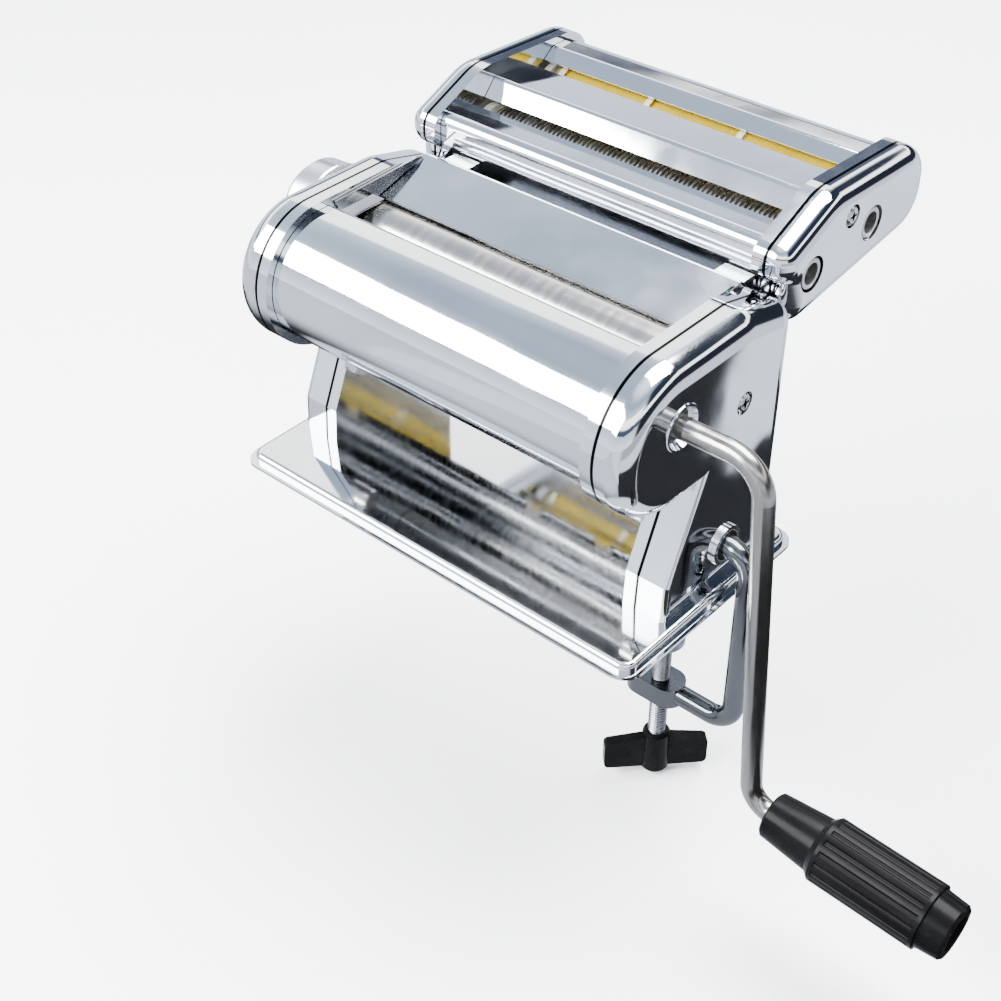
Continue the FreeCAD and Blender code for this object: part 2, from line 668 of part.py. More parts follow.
def involute_point(base_radius, radius, offset):
    """Point of an involute at a radius, turned by offset."""
    roll = math.sqrt(max((radius / base_radius) ** 2 - 1, 0.0))
    angle = roll - math.atan(roll) + offset
    return vector(radius * math.cos(angle), radius * math.sin(angle))


def gear(name, teeth, distance, play, bore, start, width, phase):
    """Spur gear on the X axis: a root disc and one involute tooth, repeated round the axis."""
    made = body(name)
    module = distance / teeth
    pitch = distance / 2
    pressure = math.radians(28.0)
    base_radius = pitch * math.cos(pressure)
    root, tip = pitch - 1.25 * module, pitch + module
    half_tooth = math.pi / (2 * teeth) - play / (2 * distance)
    offset = -half_tooth - (math.tan(pressure) - pressure)
    radii = (base_radius, (base_radius + tip) / 2, tip)
    flank = [involute_point(base_radius, r, offset) for r in radii]
    other = [vector(p.x, -p.y) for p in flank]
    sunk = max(root - 0.5, bore + 0.1)
    foot = vector(sunk * math.cos(offset), sunk * math.sin(offset))
    foot_other = vector(foot.x, -foot.y)
    curves = [Part.LineSegment(foot, flank[0]), Part.Arc(*flank),
              Part.Arc(flank[2], vector(tip, 0), other[2]), Part.Arc(*other[::-1]),
              Part.LineSegment(other[0], foot_other), Part.LineSegment(foot_other, foot)]
    spin = FreeCAD.Matrix()
    spin.rotateZ(phase)
    for curve in curves:
        curve.transform(spin)
    pad(made, "YZ_Plane", circle(0, 0, root) + circle(0, 0, bore), start, width)
    tooth = pad(made, "YZ_Plane", curves, start, width)
    pattern = made.newObject("PartDesign::PolarPattern", name + "_teeth")
    pattern.Originals = [tooth]
    pattern.Axis = (origin_feature(made, "X_Axis"), [""])
    pattern.Angle = 360
    pattern.Occurrences = int(teeth)
    made.Tip = pattern
    return made


roller_distance = 2 * size["roller_radius"] + size["roller_gap"]
roller_gear = (size["gear_teeth"], roller_distance, size["gear_backlash"], seat_radius + size["running_gap"],
               gear_x, "Sizes.gear_width")
front_gear = gear("front_gear", *roller_gear, 0.0)
place(front_gear, 0, "Sizes.front_y", "Sizes.roller_z")
rear_phase = math.pi + math.pi / size["gear_teeth"]
rear_gear = gear("rear_gear", *roller_gear, rear_phase)
place(rear_gear, 0, REAR_Y, "Sizes.roller_z")


# Carriage of the rear roller: two plates in the cheeks and a bar that joins them

plate_inner = half + size["cheek_wall"] + size["end_gap"]
plate_wall = rim_x - size["end_gap"] - plate_inner - 0.1
for word, side in SIDES:
    plate = body("carriage_" + word)
    shape = rectangle(rear_roller_y + 8.0, size["roller_z"], 38.0, 20.0, 3.0)
    pad(plate, "YZ_Plane", shape, side * plate_inner, plate_wall, side)
    if side < 0:
        for rib in (-1, 1):
            rib_y = rear_roller_y + rib * (size["eccentric_radius"] + size["yoke_gap"] + 1.5)
            pad(plate, "YZ_Plane", rectangle(rib_y, size["roller_z"], 3.0, 20.0),
                side * plate_inner, plate_wall + 5.0, side)
    for y, radius in ((rear_roller_y, slide_bush_radius), (bar_y, bar_radius)):
        pocket(plate, "YZ_Plane", circle(y, size["roller_z"], radius + size["running_gap"]),
               side * plate_inner, plate_wall, side)
group("carriage_bushes", [roller_bush("carriage_bush_" + word, REAR_Y, side * plate_inner,
                                      side * (plate_inner + plate_wall), slide_bush_radius,
                                      slide_bush_radius, False) for word, side in SIDES])
bar = body("carriage_bar")
bar_end = plate_inner + plate_wall
turn(bar, [(-bar_end, 0.0), (-bar_end, bar_radius), (bar_end, bar_radius), (bar_end, 0.0)])
place(bar, 0, bar_y, "Sizes.roller_z")


# Thickness regulator on the left: eccentric shaft, dial ring and pull-out knob

shaft_radius = 4.0
eccentric_x = -(plate_inner + plate_wall + 0.9)
shaft = body("regulator_shaft")
turn(shaft, [(eccentric_x, 0.0), (eccentric_x, shaft_radius),
             (-size["knob_face_x"] + 4.0, shaft_radius), (-size["knob_face_x"] + 4.0, 0.0)])
pad(shaft, "YZ_Plane", circle(-eccentricity, 0, size["eccentric_radius"]), eccentric_x, 3.6, -1)
place(shaft, 0, knob_y, "Sizes.roller_z")

dial = body("regulator_dial")
dial_face = outer_x + size["dial_height"]
dial_bore = shaft_radius + size["running_gap"]
turn(dial, [(-outer_x + 4.0, dial_bore), (-outer_x + 4.0, dial_hub_radius), (-outer_x, dial_hub_radius),
            (-outer_x, 22.0), (-dial_face, 21.0), (-dial_face, 17.3), (-dial_face + 1.5, 17.3),
            (-dial_face + 1.5, 12.7), (-dial_face, 12.7), (-dial_face, dial_bore)])
place(dial, 0, knob_y, "Sizes.roller_z")

knob = body("regulator_knob")
knob_inner = -(dial_face + size["end_gap"])
knob_outer = -size["knob_face_x"]
knob_floor = knob_outer + 11.0
knob_edge = size["knob_radius"]
turn(knob, [(knob_inner, dial_bore), (knob_inner, knob_edge - 1.0), (knob_inner - 1.5, knob_edge),
            (knob_outer + 3.0, knob_edge - 0.6), (knob_outer, knob_edge - 3.0), (knob_outer, 7.5),
            (knob_floor, 7.5), (knob_floor, dial_bore)])
pad(knob, "YZ_Plane", circle(0, 15.0, 1.6), knob_inner - 1.0, 2.3)
place(knob, 0, knob_y, "Sizes.roller_z")

cap = body("knob_screw")
cap_seat = -size["knob_face_x"] + 4.0
turn(cap, [(cap_seat, 0.0), (cap_seat, 6.6), (cap_seat - 2.0, 6.6), (cap_seat - 3.0, 5.2), (cap_seat - 3.0, 0.0)])
place(cap, 0, knob_y, "Sizes.roller_z")


def coil(name, turns, radius, wire, start, length):
    """Coil spring about X, one unbroken tube along a helix, from x = start towards -X."""
    helix = Part.makeHelix(length / turns, length, radius)
    section = Part.Wire(Part.makeCircle(wire, vector(radius, 0), vector(0, 1, 0)))
    made = doc.addObject("Part::Feature", name)
    made.Label = name
    made.Shape = Part.Wire(helix.Edges).makePipeShell([section], True, True)
    turned = FreeCAD.Rotation(vector(0, 1, 0), -90)
    made.Placement = FreeCAD.Placement(vector(start, knob_y, size["roller_z"]), turned)
    subparts.append(made)
    print(name, "least gap between turns", round(length / turns - 2 * wire, 2), "mm")


spring_wire = 0.4
spring_end = spring_wire + size["running_gap"]
coil("knob_spring", 4, 5.6, spring_wire, knob_floor - spring_end, knob_floor - cap_seat - 2 * spring_end)


# Crank: one bent rod with a slotted tip, a turning grip and its end washer

lean = math.radians(size["grip_lean"])
arm_top = (size["arm_top_x"], 0.0)
arm_foot = (size["arm_foot_x"], -size["arm_drop"])
rod_reach = size["grip_start"] + size["grip_length"] - 6.0
rod_end = (arm_foot[0] + rod_reach * math.cos(lean), arm_foot[1] - rod_reach * math.sin(lean))
tip_x = socket_floor + size["end_gap"]

rod = body("crank_rod")
spine = sketch(rod, "XZ_Plane", 0, outline(
    [(tip_x, 0.0, 0.0), (*arm_top, size["crank_bend"]), (*arm_foot, size["foot_bend"]), (*rod_end, 0.0)], False))
profile = sketch(rod, "YZ_Plane", tip_x, circle(0, 0, size["rod_radius"]))
doc.recompute()
pipe = rod.newObject("PartDesign::AdditivePipe", "crank_pipe")
pipe.Profile = profile
pipe.Spine = (spine, [f"Edge{i}" for i in range(1, 6)])
slot_width = 2 * (size["drive_pin_radius"] + size["loose_gap"])
slot_depth = pin_x + size["drive_pin_radius"] + size["loose_gap"] - tip_x
pocket(rod, "YZ_Plane", rectangle(0, 0, 4 * size["rod_radius"], slot_width), tip_x, slot_depth)
place(rod, 0, "Sizes.front_y", "Sizes.roller_z")

grip_place = FreeCAD.Placement(
    vector(arm_foot[0] + size["grip_start"] * math.cos(lean), size["front_y"],
           size["roller_z"] + arm_foot[1] - size["grip_start"] * math.sin(lean)),
    FreeCAD.Rotation(vector(0, 1, 0), size["grip_lean"]))
grip = body("crank_grip")
length, rib = size["grip_length"], size["grip_rib_radius"]
grip_bore = size["rod_radius"] + size["running_gap"]
tail = size["grip_tail_radius"]
turn(grip, [(0.0, grip_bore), (0.0, size["grip_end_radius"] - 0.8), (0.8, size["grip_end_radius"]),
            (22.0, rib - 2.2), (24.5, rib), (length - 10.5, rib), (length - 10.0, tail + 0.8), (length - 1.0, tail),
            (length, tail - 1.0), (length, 7.4), (length - 12.0, 7.4), (length - 12.0, grip_bore)])
flute = pocket(grip, "YZ_Plane", circle(rib + 0.35, 0, 1.3), 26.0, length - 38.0)
flutes = grip.newObject("PartDesign::PolarPattern", "grip_flutes")
flutes.Originals = [flute]
flutes.Axis = (origin_feature(grip, "X_Axis"), [""])
flutes.Angle = 360
flutes.setExpression("Occurrences", "Sizes.flute_count")
grip.Tip = flutes
grip.Placement = grip_place

washer = body("grip_washer")
washer_x = length - 12.0 + size["end_gap"]
turn(washer, [(washer_x, grip_bore), (washer_x, 6.6), (washer_x + 1.2, 6.6), (washer_x + 1.2, grip_bore)])
washer.Placement = grip_place

bush = body("crank_bush")
bush_bore = size["socket_radius"] + size["loose_gap"]
turn(bush, [(outer_x - 5.0, bush_bore), (outer_x - 5.0, bush_bore + 1.0), (outer_x - 3.2, bush_bore + 1.0),
            (outer_x - 1.4, dish_radius), (outer_x + 0.02, dish_radius), (outer_x + 0.02, dish_radius + 0.9),
            (outer_x + 0.5, dish_radius + 0.7), (outer_x + 0.5, dish_radius), (outer_x - 3.0, bush_bore)])
place(bush, 0, "Sizes.front_y", "Sizes.roller_z")


# Table clamp: collar, bent rod with an eye, screw with wing knob and pressure pad

collar = body("clamp_bush")
hole = size["clamp_rod_radius"] + size["running_gap"]
collar_face = outer_x + size["collar_lip"]
turn(collar, [(outer_x - 3.5, hole), (outer_x - 3.5, clamp_bush_radius), (outer_x + 0.05, clamp_bush_radius),
              (outer_x + 0.05, clamp_bush_radius + 1.6), (collar_face, clamp_bush_radius + 1.6),
              (collar_face, hole)])
place(collar, 0, "Sizes.clamp_y", "Sizes.clamp_z")

clamp = body("clamp_rod")
arm_x, low = size["clamp_arm_x"], size["clamp_low_z"] - size["clamp_z"]
bend = size["clamp_bend"]
clamp_spine = sketch(clamp, "XZ_Plane", 0, outline(
    [(size["clamp_inner_x"], 0.0, 0.0), (arm_x, 0.0, bend), (arm_x, low, bend), (size["screw_x"], low, 0.0)], False))
clamp_profile = sketch(clamp, "YZ_Plane", size["clamp_inner_x"], circle(0, 0, size["clamp_rod_radius"]))
doc.recompute()
clamp_pipe = clamp.newObject("PartDesign::AdditivePipe", "clamp_pipe")
clamp_pipe.Profile = clamp_profile
clamp_pipe.Spine = (clamp_spine, [f"Edge{i}" for i in range(1, 6)])
eye_height = 10.0
paddle = slot(size["screw_x"] - 8.0, 0, 7.5, 12.0)
pad(clamp, "XY_Plane", paddle, low - eye_height / 2, eye_height)
thread_hole = size["screw_radius"] + 0.08
pocket(clamp, "XY_Plane", circle(size["screw_x"], 0, thread_hole), low - eye_height, 2 * eye_height)
place(clamp, 0, "Sizes.clamp_y", "Sizes.clamp_z")

pad_height, stem_radius = 5.0, 2.6
stem_top = size["pad_top_z"] - 1.5
screw_top = size["pad_top_z"] - pad_height
screw = body("clamp_screw")
wing_top = size["wing_top_z"]
turn(screw, [(0.0, wing_top - 12.0), (size["screw_radius"], wing_top - 12.0), (size["screw_radius"], screw_top - 0.1),
             (stem_radius, screw_top - 0.1), (stem_radius, stem_top), (0.0, stem_top)], "Z_Axis")
place(screw, "Sizes.screw_x", "Sizes.clamp_y", 0)

cup = body("clamp_pad")
turn(cup, [(stem_radius + 0.05, screw_top), (6.0, screw_top), (9.0, screw_top + 2.0), (9.0, size["pad_top_z"]),
           (0.0, size["pad_top_z"]), (0.0, stem_top + 0.1), (stem_radius + 0.05, stem_top + 0.1)], "Z_Axis")
place(cup, "Sizes.screw_x", "Sizes.clamp_y", 0)

wing = body("wing_knob")
hub_height = 23.0
wing_low = wing_top - hub_height
blade_low = wing_low + 2.0
tip_height = size["wing_height"] - 3.0
wings = outline([(-size["wing_span"] / 2, blade_low, 2.5), (size["wing_span"] / 2, blade_low, 2.5),
                 (size["wing_span"] / 2, blade_low + tip_height, 2.5), (0.0, blade_low + size["wing_height"], 0.0),
                 (-size["wing_span"] / 2, blade_low + tip_height, 2.5)])
pad(wing, "XZ_Plane", wings, -2.5, 5.0)
hub = wing.newObject("PartDesign::Revolution", "wing_hub")
hub.Profile = sketch(wing, "XZ_Plane", 0, polygon(
    [(0.0, wing_low), (5.0, wing_low), (6.4, wing_low + 2.0), (6.0, wing_top - 1.5), (5.0, wing_top), (0.0, wing_top)]))
hub.ReferenceAxis = (origin_feature(wing, "Z_Axis"), [""])
hub.Angle = 360
bore_radius = size["screw_radius"] + size["running_gap"]
pocket(wing, "XY_Plane", circle(0, 0, bore_radius), wing_top - 12.1, 20.0)
wing.Placement = FreeCAD.Placement(vector(0, 0), FreeCAD.Rotation(vector(0, 0, 1), size["wing_turn"]))
place(wing, "Sizes.screw_x", "Sizes.clamp_y", 0)


# Cutter unit: cheeks with tongues, drawn covers, three sheet covers, two cutter pairs

axes = {"narrow_front": (narrow_y, narrow_z), "narrow_rear": (narrow_back, narrow_z),
        "wide_front": (wide_y, wide_z), "wide_rear": (wide_back, wide_z)}
cutter_bush = size["cutter_journal"] + 2.0
socket_outer = size["cutter_journal"] + 1.5

for word, side in SIDES:
    cheek = flanged_plate("cutter_cheek_" + word, cutter_corners(), side)
    tongue = outline([(cutter_neck_y, narrow_z - 14.3, 0.0), (cutter_neck_y, narrow_z - 27.3, 1.5),
                      (cutter_neck_y + 2.4, narrow_z - 28.8, 1.5), (cutter_neck_y + 10.4, narrow_z - 18.3, 0.0)])
    pad(cheek, "YZ_Plane", tongue, sided(HALF, side), "Sizes.cheek_wall", side)
    for y, z in axes.values():
        cheek_hole(cheek, circle(y, z, cutter_bush + size["running_gap"]), side)
    for y, z in cutter_spacers:
        cheek_hole(cheek, circle(y, z, 2.0 + size["running_gap"]), side)
    screw_place = (size["cutter_screw_y"], size["cutter_screw_z"])
    cover_post(cheek, screw_place, screw_place, side, cutter_x)
    cover = drawn_cover("cutter_cover_" + word, cutter_corners(), side, "Sizes.cutter_depth", "Sizes.cutter_edge")
    cover_hole(cover, size["cutter_screw_y"], size["cutter_screw_z"], head_hole, side, cutter_x)
    if side > 0:
        for name in ("narrow_front", "wide_front"):
            cover_hole(cover, *axes[name], socket_outer + 1.2, side, cutter_x)

def riveted_rod(name, y, z):
    """Spacer of the cutter unit, with a rivet head over each cheek."""
    made = body(name, listed=False)
    radius, neck, rivet = size["cutter_tie_radius"], 2.0, 3.0
    outside = half + size["cheek_wall"] + 0.05
    points = []
    for side in (-1, 1):
        half_points = [(side * (outside + 1.4), 0.0), (side * (outside + 1.4), rivet - 0.8),
                       (side * (outside + 0.6), rivet), (side * outside, rivet), (side * outside, neck),
                       (side * half, neck), (side * half, radius)]
        points += half_points if side < 0 else half_points[::-1]
    turn(made, points)
    place(made, 0, y, z)
    return made


cutter_end_y = wide_back + 19.4
sheet_cover("cutter_front_cover", [
    (cutter_sheet_y, narrow_z - 18.3, 0.0), (cutter_sheet_y, narrow_z + 14.7, 4.0),
    (narrow_y + 4.6, narrow_z + 12.3, 0.0)])
sheet_cover("cutter_center_cover", [
    (narrow_back - 4.6, narrow_z + 12.9, 0.0), (narrow_back + 1.7, narrow_z + 19.7, 2.0),
    (wide_y + 3.0, wide_z + 12.4, 0.0)])
sheet_cover("cutter_rear_cover", [
    (wide_back - 6.1, wide_z + 12.2, 0.0), (wide_back - 0.6, wide_z + 16.4, 3.0),
    (cutter_end_y, wide_z + 16.4, 12.0), (cutter_end_y, wide_z - 11.6, 8.0),
    (wide_back + 8.4, wide_z - 13.0, 0.0)])
group("cutter_tie_rods", [riveted_rod(f"cutter_tie_rod_{i}", y, z) for i, (y, z) in enumerate(cutter_spacers)])
group("cutter_cover_screws", [cover_screw("cutter_screw_" + word, *screw_place, side, cutter_x)
                              for word, side in SIDES])

body_end = size["cutter_length"] / 2
cutter_gear_bore = socket_outer + size["running_gap"]


def ring_steps(offset):
    """Rings and grooves of a narrow cutter, from left to right."""
    count = int(size["cutter_length"] / size["ring_step"]) - 1
    first = -count * size["ring_step"] / 2 + offset
    points = []
    for i in range(count):
        x = first + i * size["ring_step"]
        low, high = x - size["ring_width"] / 2, x + size["ring_width"] / 2
        points += [(low, size["ring_root"]), (low, size["ring_radius"]),
                   (high, size["ring_radius"]), (high, size["ring_root"])]
    return points


drum_radius = size["cutter_pitch"] / 2 - 0.15


def lane_steps(radius, width):
    """Dividing rings or grooves between the lanes of a wide cutter."""
    points = []
    for lane in (-1.5, -0.5, 0.5, 1.5):
        x = lane * size["lane_width"]
        points += [(x - width / 2, drum_radius), (x - width / 2, radius),
                   (x + width / 2, radius), (x + width / 2, drum_radius)]
    return points


def cutter_roller(name, root, steps, gear_start, driven):
    """Cutter roller with journals; a driven one ends in a crank socket."""
    made = body(name)
    journal = size["cutter_journal"]
    points = [(left_end, 0.0), (left_end, journal), (-body_end, journal), (-body_end, root)]
    points += steps + [(body_end, root), (body_end, journal)]
    if driven:
        face = cutter_x - 0.6
        floor = face - 8.0
        points += [(gear_x, journal), (gear_x, socket_outer), (face, socket_outer),
                   (face, socket_bore), (floor, socket_bore), (floor, 0.0)]
    else:
        end = gear_start + size["cutter_gear_width"]
        points += [(gear_start, journal), (gear_start, socket_outer), (end, socket_outer), (end, 0.0)]
    turn(made, points)
    place(made, 0, *axes[name.replace("_cutter", "")])
    return made


wide_gear_x = gear_x + size["cutter_gear_width"] + 0.5
cutter_roller("narrow_front_cutter", size["ring_root"], ring_steps(0.0), gear_x, True)
cutter_roller("narrow_rear_cutter", size["ring_root"], ring_steps(size["ring_step"] / 2), gear_x, False)
groove_radius = drum_radius - 1.6
cutter_roller("wide_front_cutter", drum_radius, lane_steps(groove_radius, size["lane_ring_width"] + 0.8),
              wide_gear_x, True)
cutter_roller("wide_rear_cutter", drum_radius, lane_steps(drum_radius + 1.2, size["lane_ring_width"]),
              wide_gear_x, False)

cutter_phase = math.pi + math.pi / size["cutter_gear_teeth"]
for name, start in (("narrow", gear_x), ("wide", wide_gear_x)):
    for end, phase in (("front", 0.0), ("rear", cutter_phase)):
        made = gear(f"{name}_{end}_gear", size["cutter_gear_teeth"], size["cutter_pitch"], 0.3,
                    cutter_gear_bore, start, "Sizes.cutter_gear_width", phase)
        place(made, 0, *axes[f"{name}_{end}"])


def small_bush(name, y, z, side):
    made = body(name, listed=False)
    bore = size["cutter_journal"] + size["running_gap"]
    inner, outer = side * (half - 1.65), side * (half + 4.4)
    lip = side * (half - 0.05)
    turn(made, [(inner, bore), (inner, cutter_bush + 1.5), (lip, cutter_bush + 1.5), (lip, cutter_bush),
                (outer, cutter_bush), (outer, bore)])
    place(made, 0, y, z)
    return made


group("cutter_bushes", [small_bush(f"bush_{name}_{word}", y, z, side)
                        for name, (y, z) in axes.items() for word, side in SIDES])


def comb(name, role, lean_side):
    """Scraper strip below a cutter roller."""
    y, z = axes[role]
    tip = z - size["ring_radius"] - 1.2
    made = body(name, listed=False)
    path = [(y + lean_side * 2.4, tip, 0.0), (y + lean_side * 0.6, tip - 3.4, 3.0), (y + lean_side * 0.4, tip - 6.0, 0.0)]
    pad(made, "YZ_Plane", strip(path, wall), f"-{SPAN} / 2", SPAN)
    return made


group("cutter_scrapers", [comb(f"{pair}_{end}_comb", f"{pair}_{end}", lean_side)
                          for pair in ("narrow", "wide") for end, lean_side in (("front", 1), ("rear", -1))])


# Rails on the head and hooks on the cutter unit

def rail(word, side):
    """T-section rail on the rear cover."""
    made = body("rail_" + word, listed=False)
    x, face = side * size["rail_x"], rear_wall_y + wall / 2
    section = polygon([(x - 1, face), (x + 1, face), (x + 1, face + 3.8), (x + 4.5, face + 3.8),
                       (x + 4.5, face + 5.3), (x - 4.5, face + 5.3), (x - 4.5, face + 3.8), (x - 1, face + 3.8)])
    pad(made, "XY_Plane", section, 90.0, 22.0)
    return made


def hook(word, side):
    """Channel that slides down over a rail and rests on its top."""
    made = body("hook_" + word, listed=False)
    x, face = side * size["rail_x"], rear_wall_y + wall / 2
    front_wall = cutter_sheet_y - wall / 2
    pad(made, "XY_Plane", rectangle(x, (face + 1.2 + front_wall) / 2, 13.0, front_wall - face - 1.2), 98.0, 16.0)
    gap = size["loose_gap"]
    head_slot = rectangle(x, face + 4.55, 9.0 + 2 * gap, 1.5 + 2 * gap)
    web_slot = rectangle(x, face + 2.4, 2.0 + 2 * gap, 4.0)
    for cut in (head_slot, web_slot):
        pocket(made, "XY_Plane", cut, 97.0, 15.0 + gap)
    return made


group("cutter_rails", [rail(word, side) for word, side in SIDES])
group("cutter_hooks", [hook(word, side) for word, side in SIDES])


# Check every object, then write the sub-parts

doc.recompute()
broken = [o.Name for o in doc.Objects if "Invalid" in o.State or "Error" in o.State]
idle = [o.Name for o in doc.Objects if o.TypeId == "PartDesign::Pocket"
        and o.Shape.Volume > o.BaseFeature.Shape.Volume - 1e-6]
empty = [p.Label for p in subparts if p.Shape.isNull() or not p.Shape.isValid() or not p.Shape.Solids]
if broken or idle or empty:
    raise RuntimeError(f"broken {broken}, pockets that cut nothing {idle}, bad shapes {empty}")
os.makedirs("parts", exist_ok=True)
for part in subparts:
    part.Shape.exportStep(f"parts/{part.Label}.step")
print(len(subparts), "sub-parts written")
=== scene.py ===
import bmesh
import bpy
import math
from mathutils import Matrix, Vector


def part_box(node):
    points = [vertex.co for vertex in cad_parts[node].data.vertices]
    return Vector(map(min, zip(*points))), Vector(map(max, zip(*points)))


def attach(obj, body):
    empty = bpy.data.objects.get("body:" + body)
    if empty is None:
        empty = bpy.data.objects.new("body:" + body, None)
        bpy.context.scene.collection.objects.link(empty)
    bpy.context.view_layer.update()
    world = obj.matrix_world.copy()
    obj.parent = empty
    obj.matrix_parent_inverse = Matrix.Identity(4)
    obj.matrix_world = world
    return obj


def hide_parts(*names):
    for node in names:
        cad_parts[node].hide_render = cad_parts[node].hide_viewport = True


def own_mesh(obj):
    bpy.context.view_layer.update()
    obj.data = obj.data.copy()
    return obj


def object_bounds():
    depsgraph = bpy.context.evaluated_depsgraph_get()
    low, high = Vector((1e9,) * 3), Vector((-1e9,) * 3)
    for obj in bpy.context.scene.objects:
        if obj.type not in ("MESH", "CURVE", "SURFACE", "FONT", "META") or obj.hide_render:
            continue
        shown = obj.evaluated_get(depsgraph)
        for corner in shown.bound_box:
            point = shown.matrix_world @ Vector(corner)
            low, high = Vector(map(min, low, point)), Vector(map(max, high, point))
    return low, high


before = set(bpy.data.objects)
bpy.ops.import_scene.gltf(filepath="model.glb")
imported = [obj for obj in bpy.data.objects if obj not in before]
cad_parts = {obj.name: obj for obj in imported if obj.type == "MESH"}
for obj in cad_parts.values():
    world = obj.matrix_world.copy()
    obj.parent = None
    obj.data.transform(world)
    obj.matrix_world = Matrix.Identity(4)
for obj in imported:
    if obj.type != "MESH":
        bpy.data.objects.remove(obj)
cad_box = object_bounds()

# Camera. It looks at the machine from its front right and from above, with a long
# lens, and its aim is a little beside the middle of the base.
view_azimuth = math.radians(41.28)
view_elevation = math.radians(38.50)
view_roll = math.radians(0.15)
view_distance = 0.68836
aim_right = -0.0044954
aim_up = -0.000768
sensor_width = 36.0
lens_length = 59.31

view_back = Vector((math.sin(view_azimuth) * math.cos(view_elevation),
                    -math.cos(view_azimuth) * math.cos(view_elevation),
                    math.sin(view_elevation)))
view_right = Vector((math.cos(view_azimuth), math.sin(view_azimuth), 0.0))
view_up = view_back.cross(view_right)
camera_turn = Matrix((view_right, view_up, view_back)).transposed() @ Matrix.Rotation(-view_roll, 3, "Z")
standpoint = view_back * view_distance + view_right * aim_right + view_up * aim_up
camera_data = bpy.data.cameras.new("camera")
camera_data.sensor_width = sensor_width
camera_data.lens = lens_length
camera = bpy.data.objects.new("camera", camera_data)
camera.matrix_world = Matrix.Translation(standpoint) @ camera_turn.to_4x4()
bpy.context.scene.collection.objects.link(camera)
bpy.context.scene.camera = camera

# Floor. A wide sheet of pale paper just below the hanging crank, because the crank
# and the clamp reach lower than the underside of the base.
floor_gap = 0.002
floor_z = cad_box[0].z - floor_gap
floor_half = 6.0
noise_low = 0.3
noise_high = 0.7


def set_up_finish(name):
    """An empty node material: its nodes, its links and its surface shader."""
    made = bpy.data.materials.new(name)
    made.use_nodes = True
    tree = made.node_tree
    return made, tree.nodes, tree.links, tree.nodes["Principled BSDF"]


def place_on(nodes):
    """Where a point of the surface is, in metres from the machine's origin."""
    return nodes.new("ShaderNodeTexCoord").outputs["Object"]


def mottle(nodes, links, stretch, detail, low=0.0, high=1.0):
    """Soft noise over the piece, with its own stretch along X, Y and Z, mapped to low..high."""
    turn = nodes.new("ShaderNodeMapping")
    turn.inputs["Scale"].default_value = stretch
    noise = nodes.new("ShaderNodeTexNoise")
    noise.inputs["Scale"].default_value = 1.0
    noise.inputs["Detail"].default_value = detail
    spread = nodes.new("ShaderNodeMapRange")
    spread.inputs["From Min"].default_value = noise_low
    spread.inputs["From Max"].default_value = noise_high
    spread.inputs["To Min"].default_value = low
    spread.inputs["To Max"].default_value = high
    links.new(place_on(nodes), turn.inputs["Vector"])
    links.new(turn.outputs["Vector"], noise.inputs["Vector"])
    links.new(noise.outputs["Fac"], spread.inputs["Value"])
    return spread.outputs["Result"]


def two_tints(nodes, links, factor, first, second):
    """A colour that runs from first to second with the factor."""
    ramp = nodes.new("ShaderNodeValToRGB")
    ramp.color_ramp.elements[0].color = (*first, 1.0)
    ramp.color_ramp.elements[1].color = (*second, 1.0)
    links.new(factor, ramp.inputs["Fac"])
    return ramp.outputs["Color"]


def relief(nodes, links, shader, height, depth, strength):
    """Fine surface relief of a real depth in metres."""
    bump = nodes.new("ShaderNodeBump")
    bump.inputs["Strength"].default_value = strength
    bump.inputs["Distance"].default_value = depth
    links.new(height, bump.inputs["Height"])
    links.new(bump.outputs["Normal"], shader.inputs["Normal"])


def paper_white():
    """Matt studio paper with a faint cloudiness."""
    made, nodes, links, shader = set_up_finish("paper_white")
    cloud = mottle(nodes, links, stretch=(3.0, 3.0, 3.0), detail=2.0)
    tint = two_tints(nodes, links, cloud, (0.90, 0.91, 0.92), (0.94, 0.945, 0.95))
    links.new(tint, shader.inputs["Base Color"])
    shader.inputs["Roughness"].default_value = 0.85
    return made


sheet = bmesh.new()
bmesh.ops.create_grid(sheet, x_segments=2, y_segments=2, size=floor_half,
                      matrix=Matrix.Translation((0.0, 0.0, floor_z)))
floor_mesh = bpy.data.meshes.new("floor")
sheet.to_mesh(floor_mesh)
sheet.free()
floor = bpy.data.objects.new("floor", floor_mesh)
floor.data.materials.append(paper_white())
bpy.context.scene.collection.objects.link(floor)

# Light. A pale tent whose brightness changes in bands with height, as soft boxes do
# round polished metal, with a dark side to the right and behind, and two large lamps.
# The polish sees a floor of its own, with a dark ring and a pale patch past each end.
tent_strength = 3.0
tent_bands = (
    (0.000, (0.80, 0.83, 0.87)),
    (0.500, (0.62, 0.67, 0.74)),
    (0.635, (0.40, 0.45, 0.53)),
    (0.655, (0.03, 0.04, 0.06)),
    (0.700, (0.05, 0.06, 0.09)),
    (0.725, (1.25, 1.25, 1.25)),
    (0.805, (1.25, 1.25, 1.25)),
    (0.820, (0.44, 0.49, 0.57)),
    (0.900, (0.21, 0.26, 0.33)),
    (0.940, (0.24, 0.29, 0.36)),
    (1.000, (0.72, 0.77, 0.84)),
)
shaded_bands = (
    (0.000, (0.30, 0.32, 0.36)),
    (0.480, (0.30, 0.32, 0.36)),
    (0.520, (0.010, 0.012, 0.017)),
    (0.675, (0.008, 0.010, 0.016)),
    (0.695, (1.30, 1.30, 1.30)),
    (0.740, (1.30, 1.30, 1.30)),
    (0.760, (0.014, 0.019, 0.030)),
    (0.880, (0.010, 0.014, 0.024)),
    (0.925, (0.16, 0.20, 0.28)),
    (1.000, (0.80, 0.84, 0.90)),
)
shaded_way = (0.70, 0.70, 0.0)
shade_start = 0.28
shade_full = 0.52
rightward = (1.0, 0.0, 0.0)
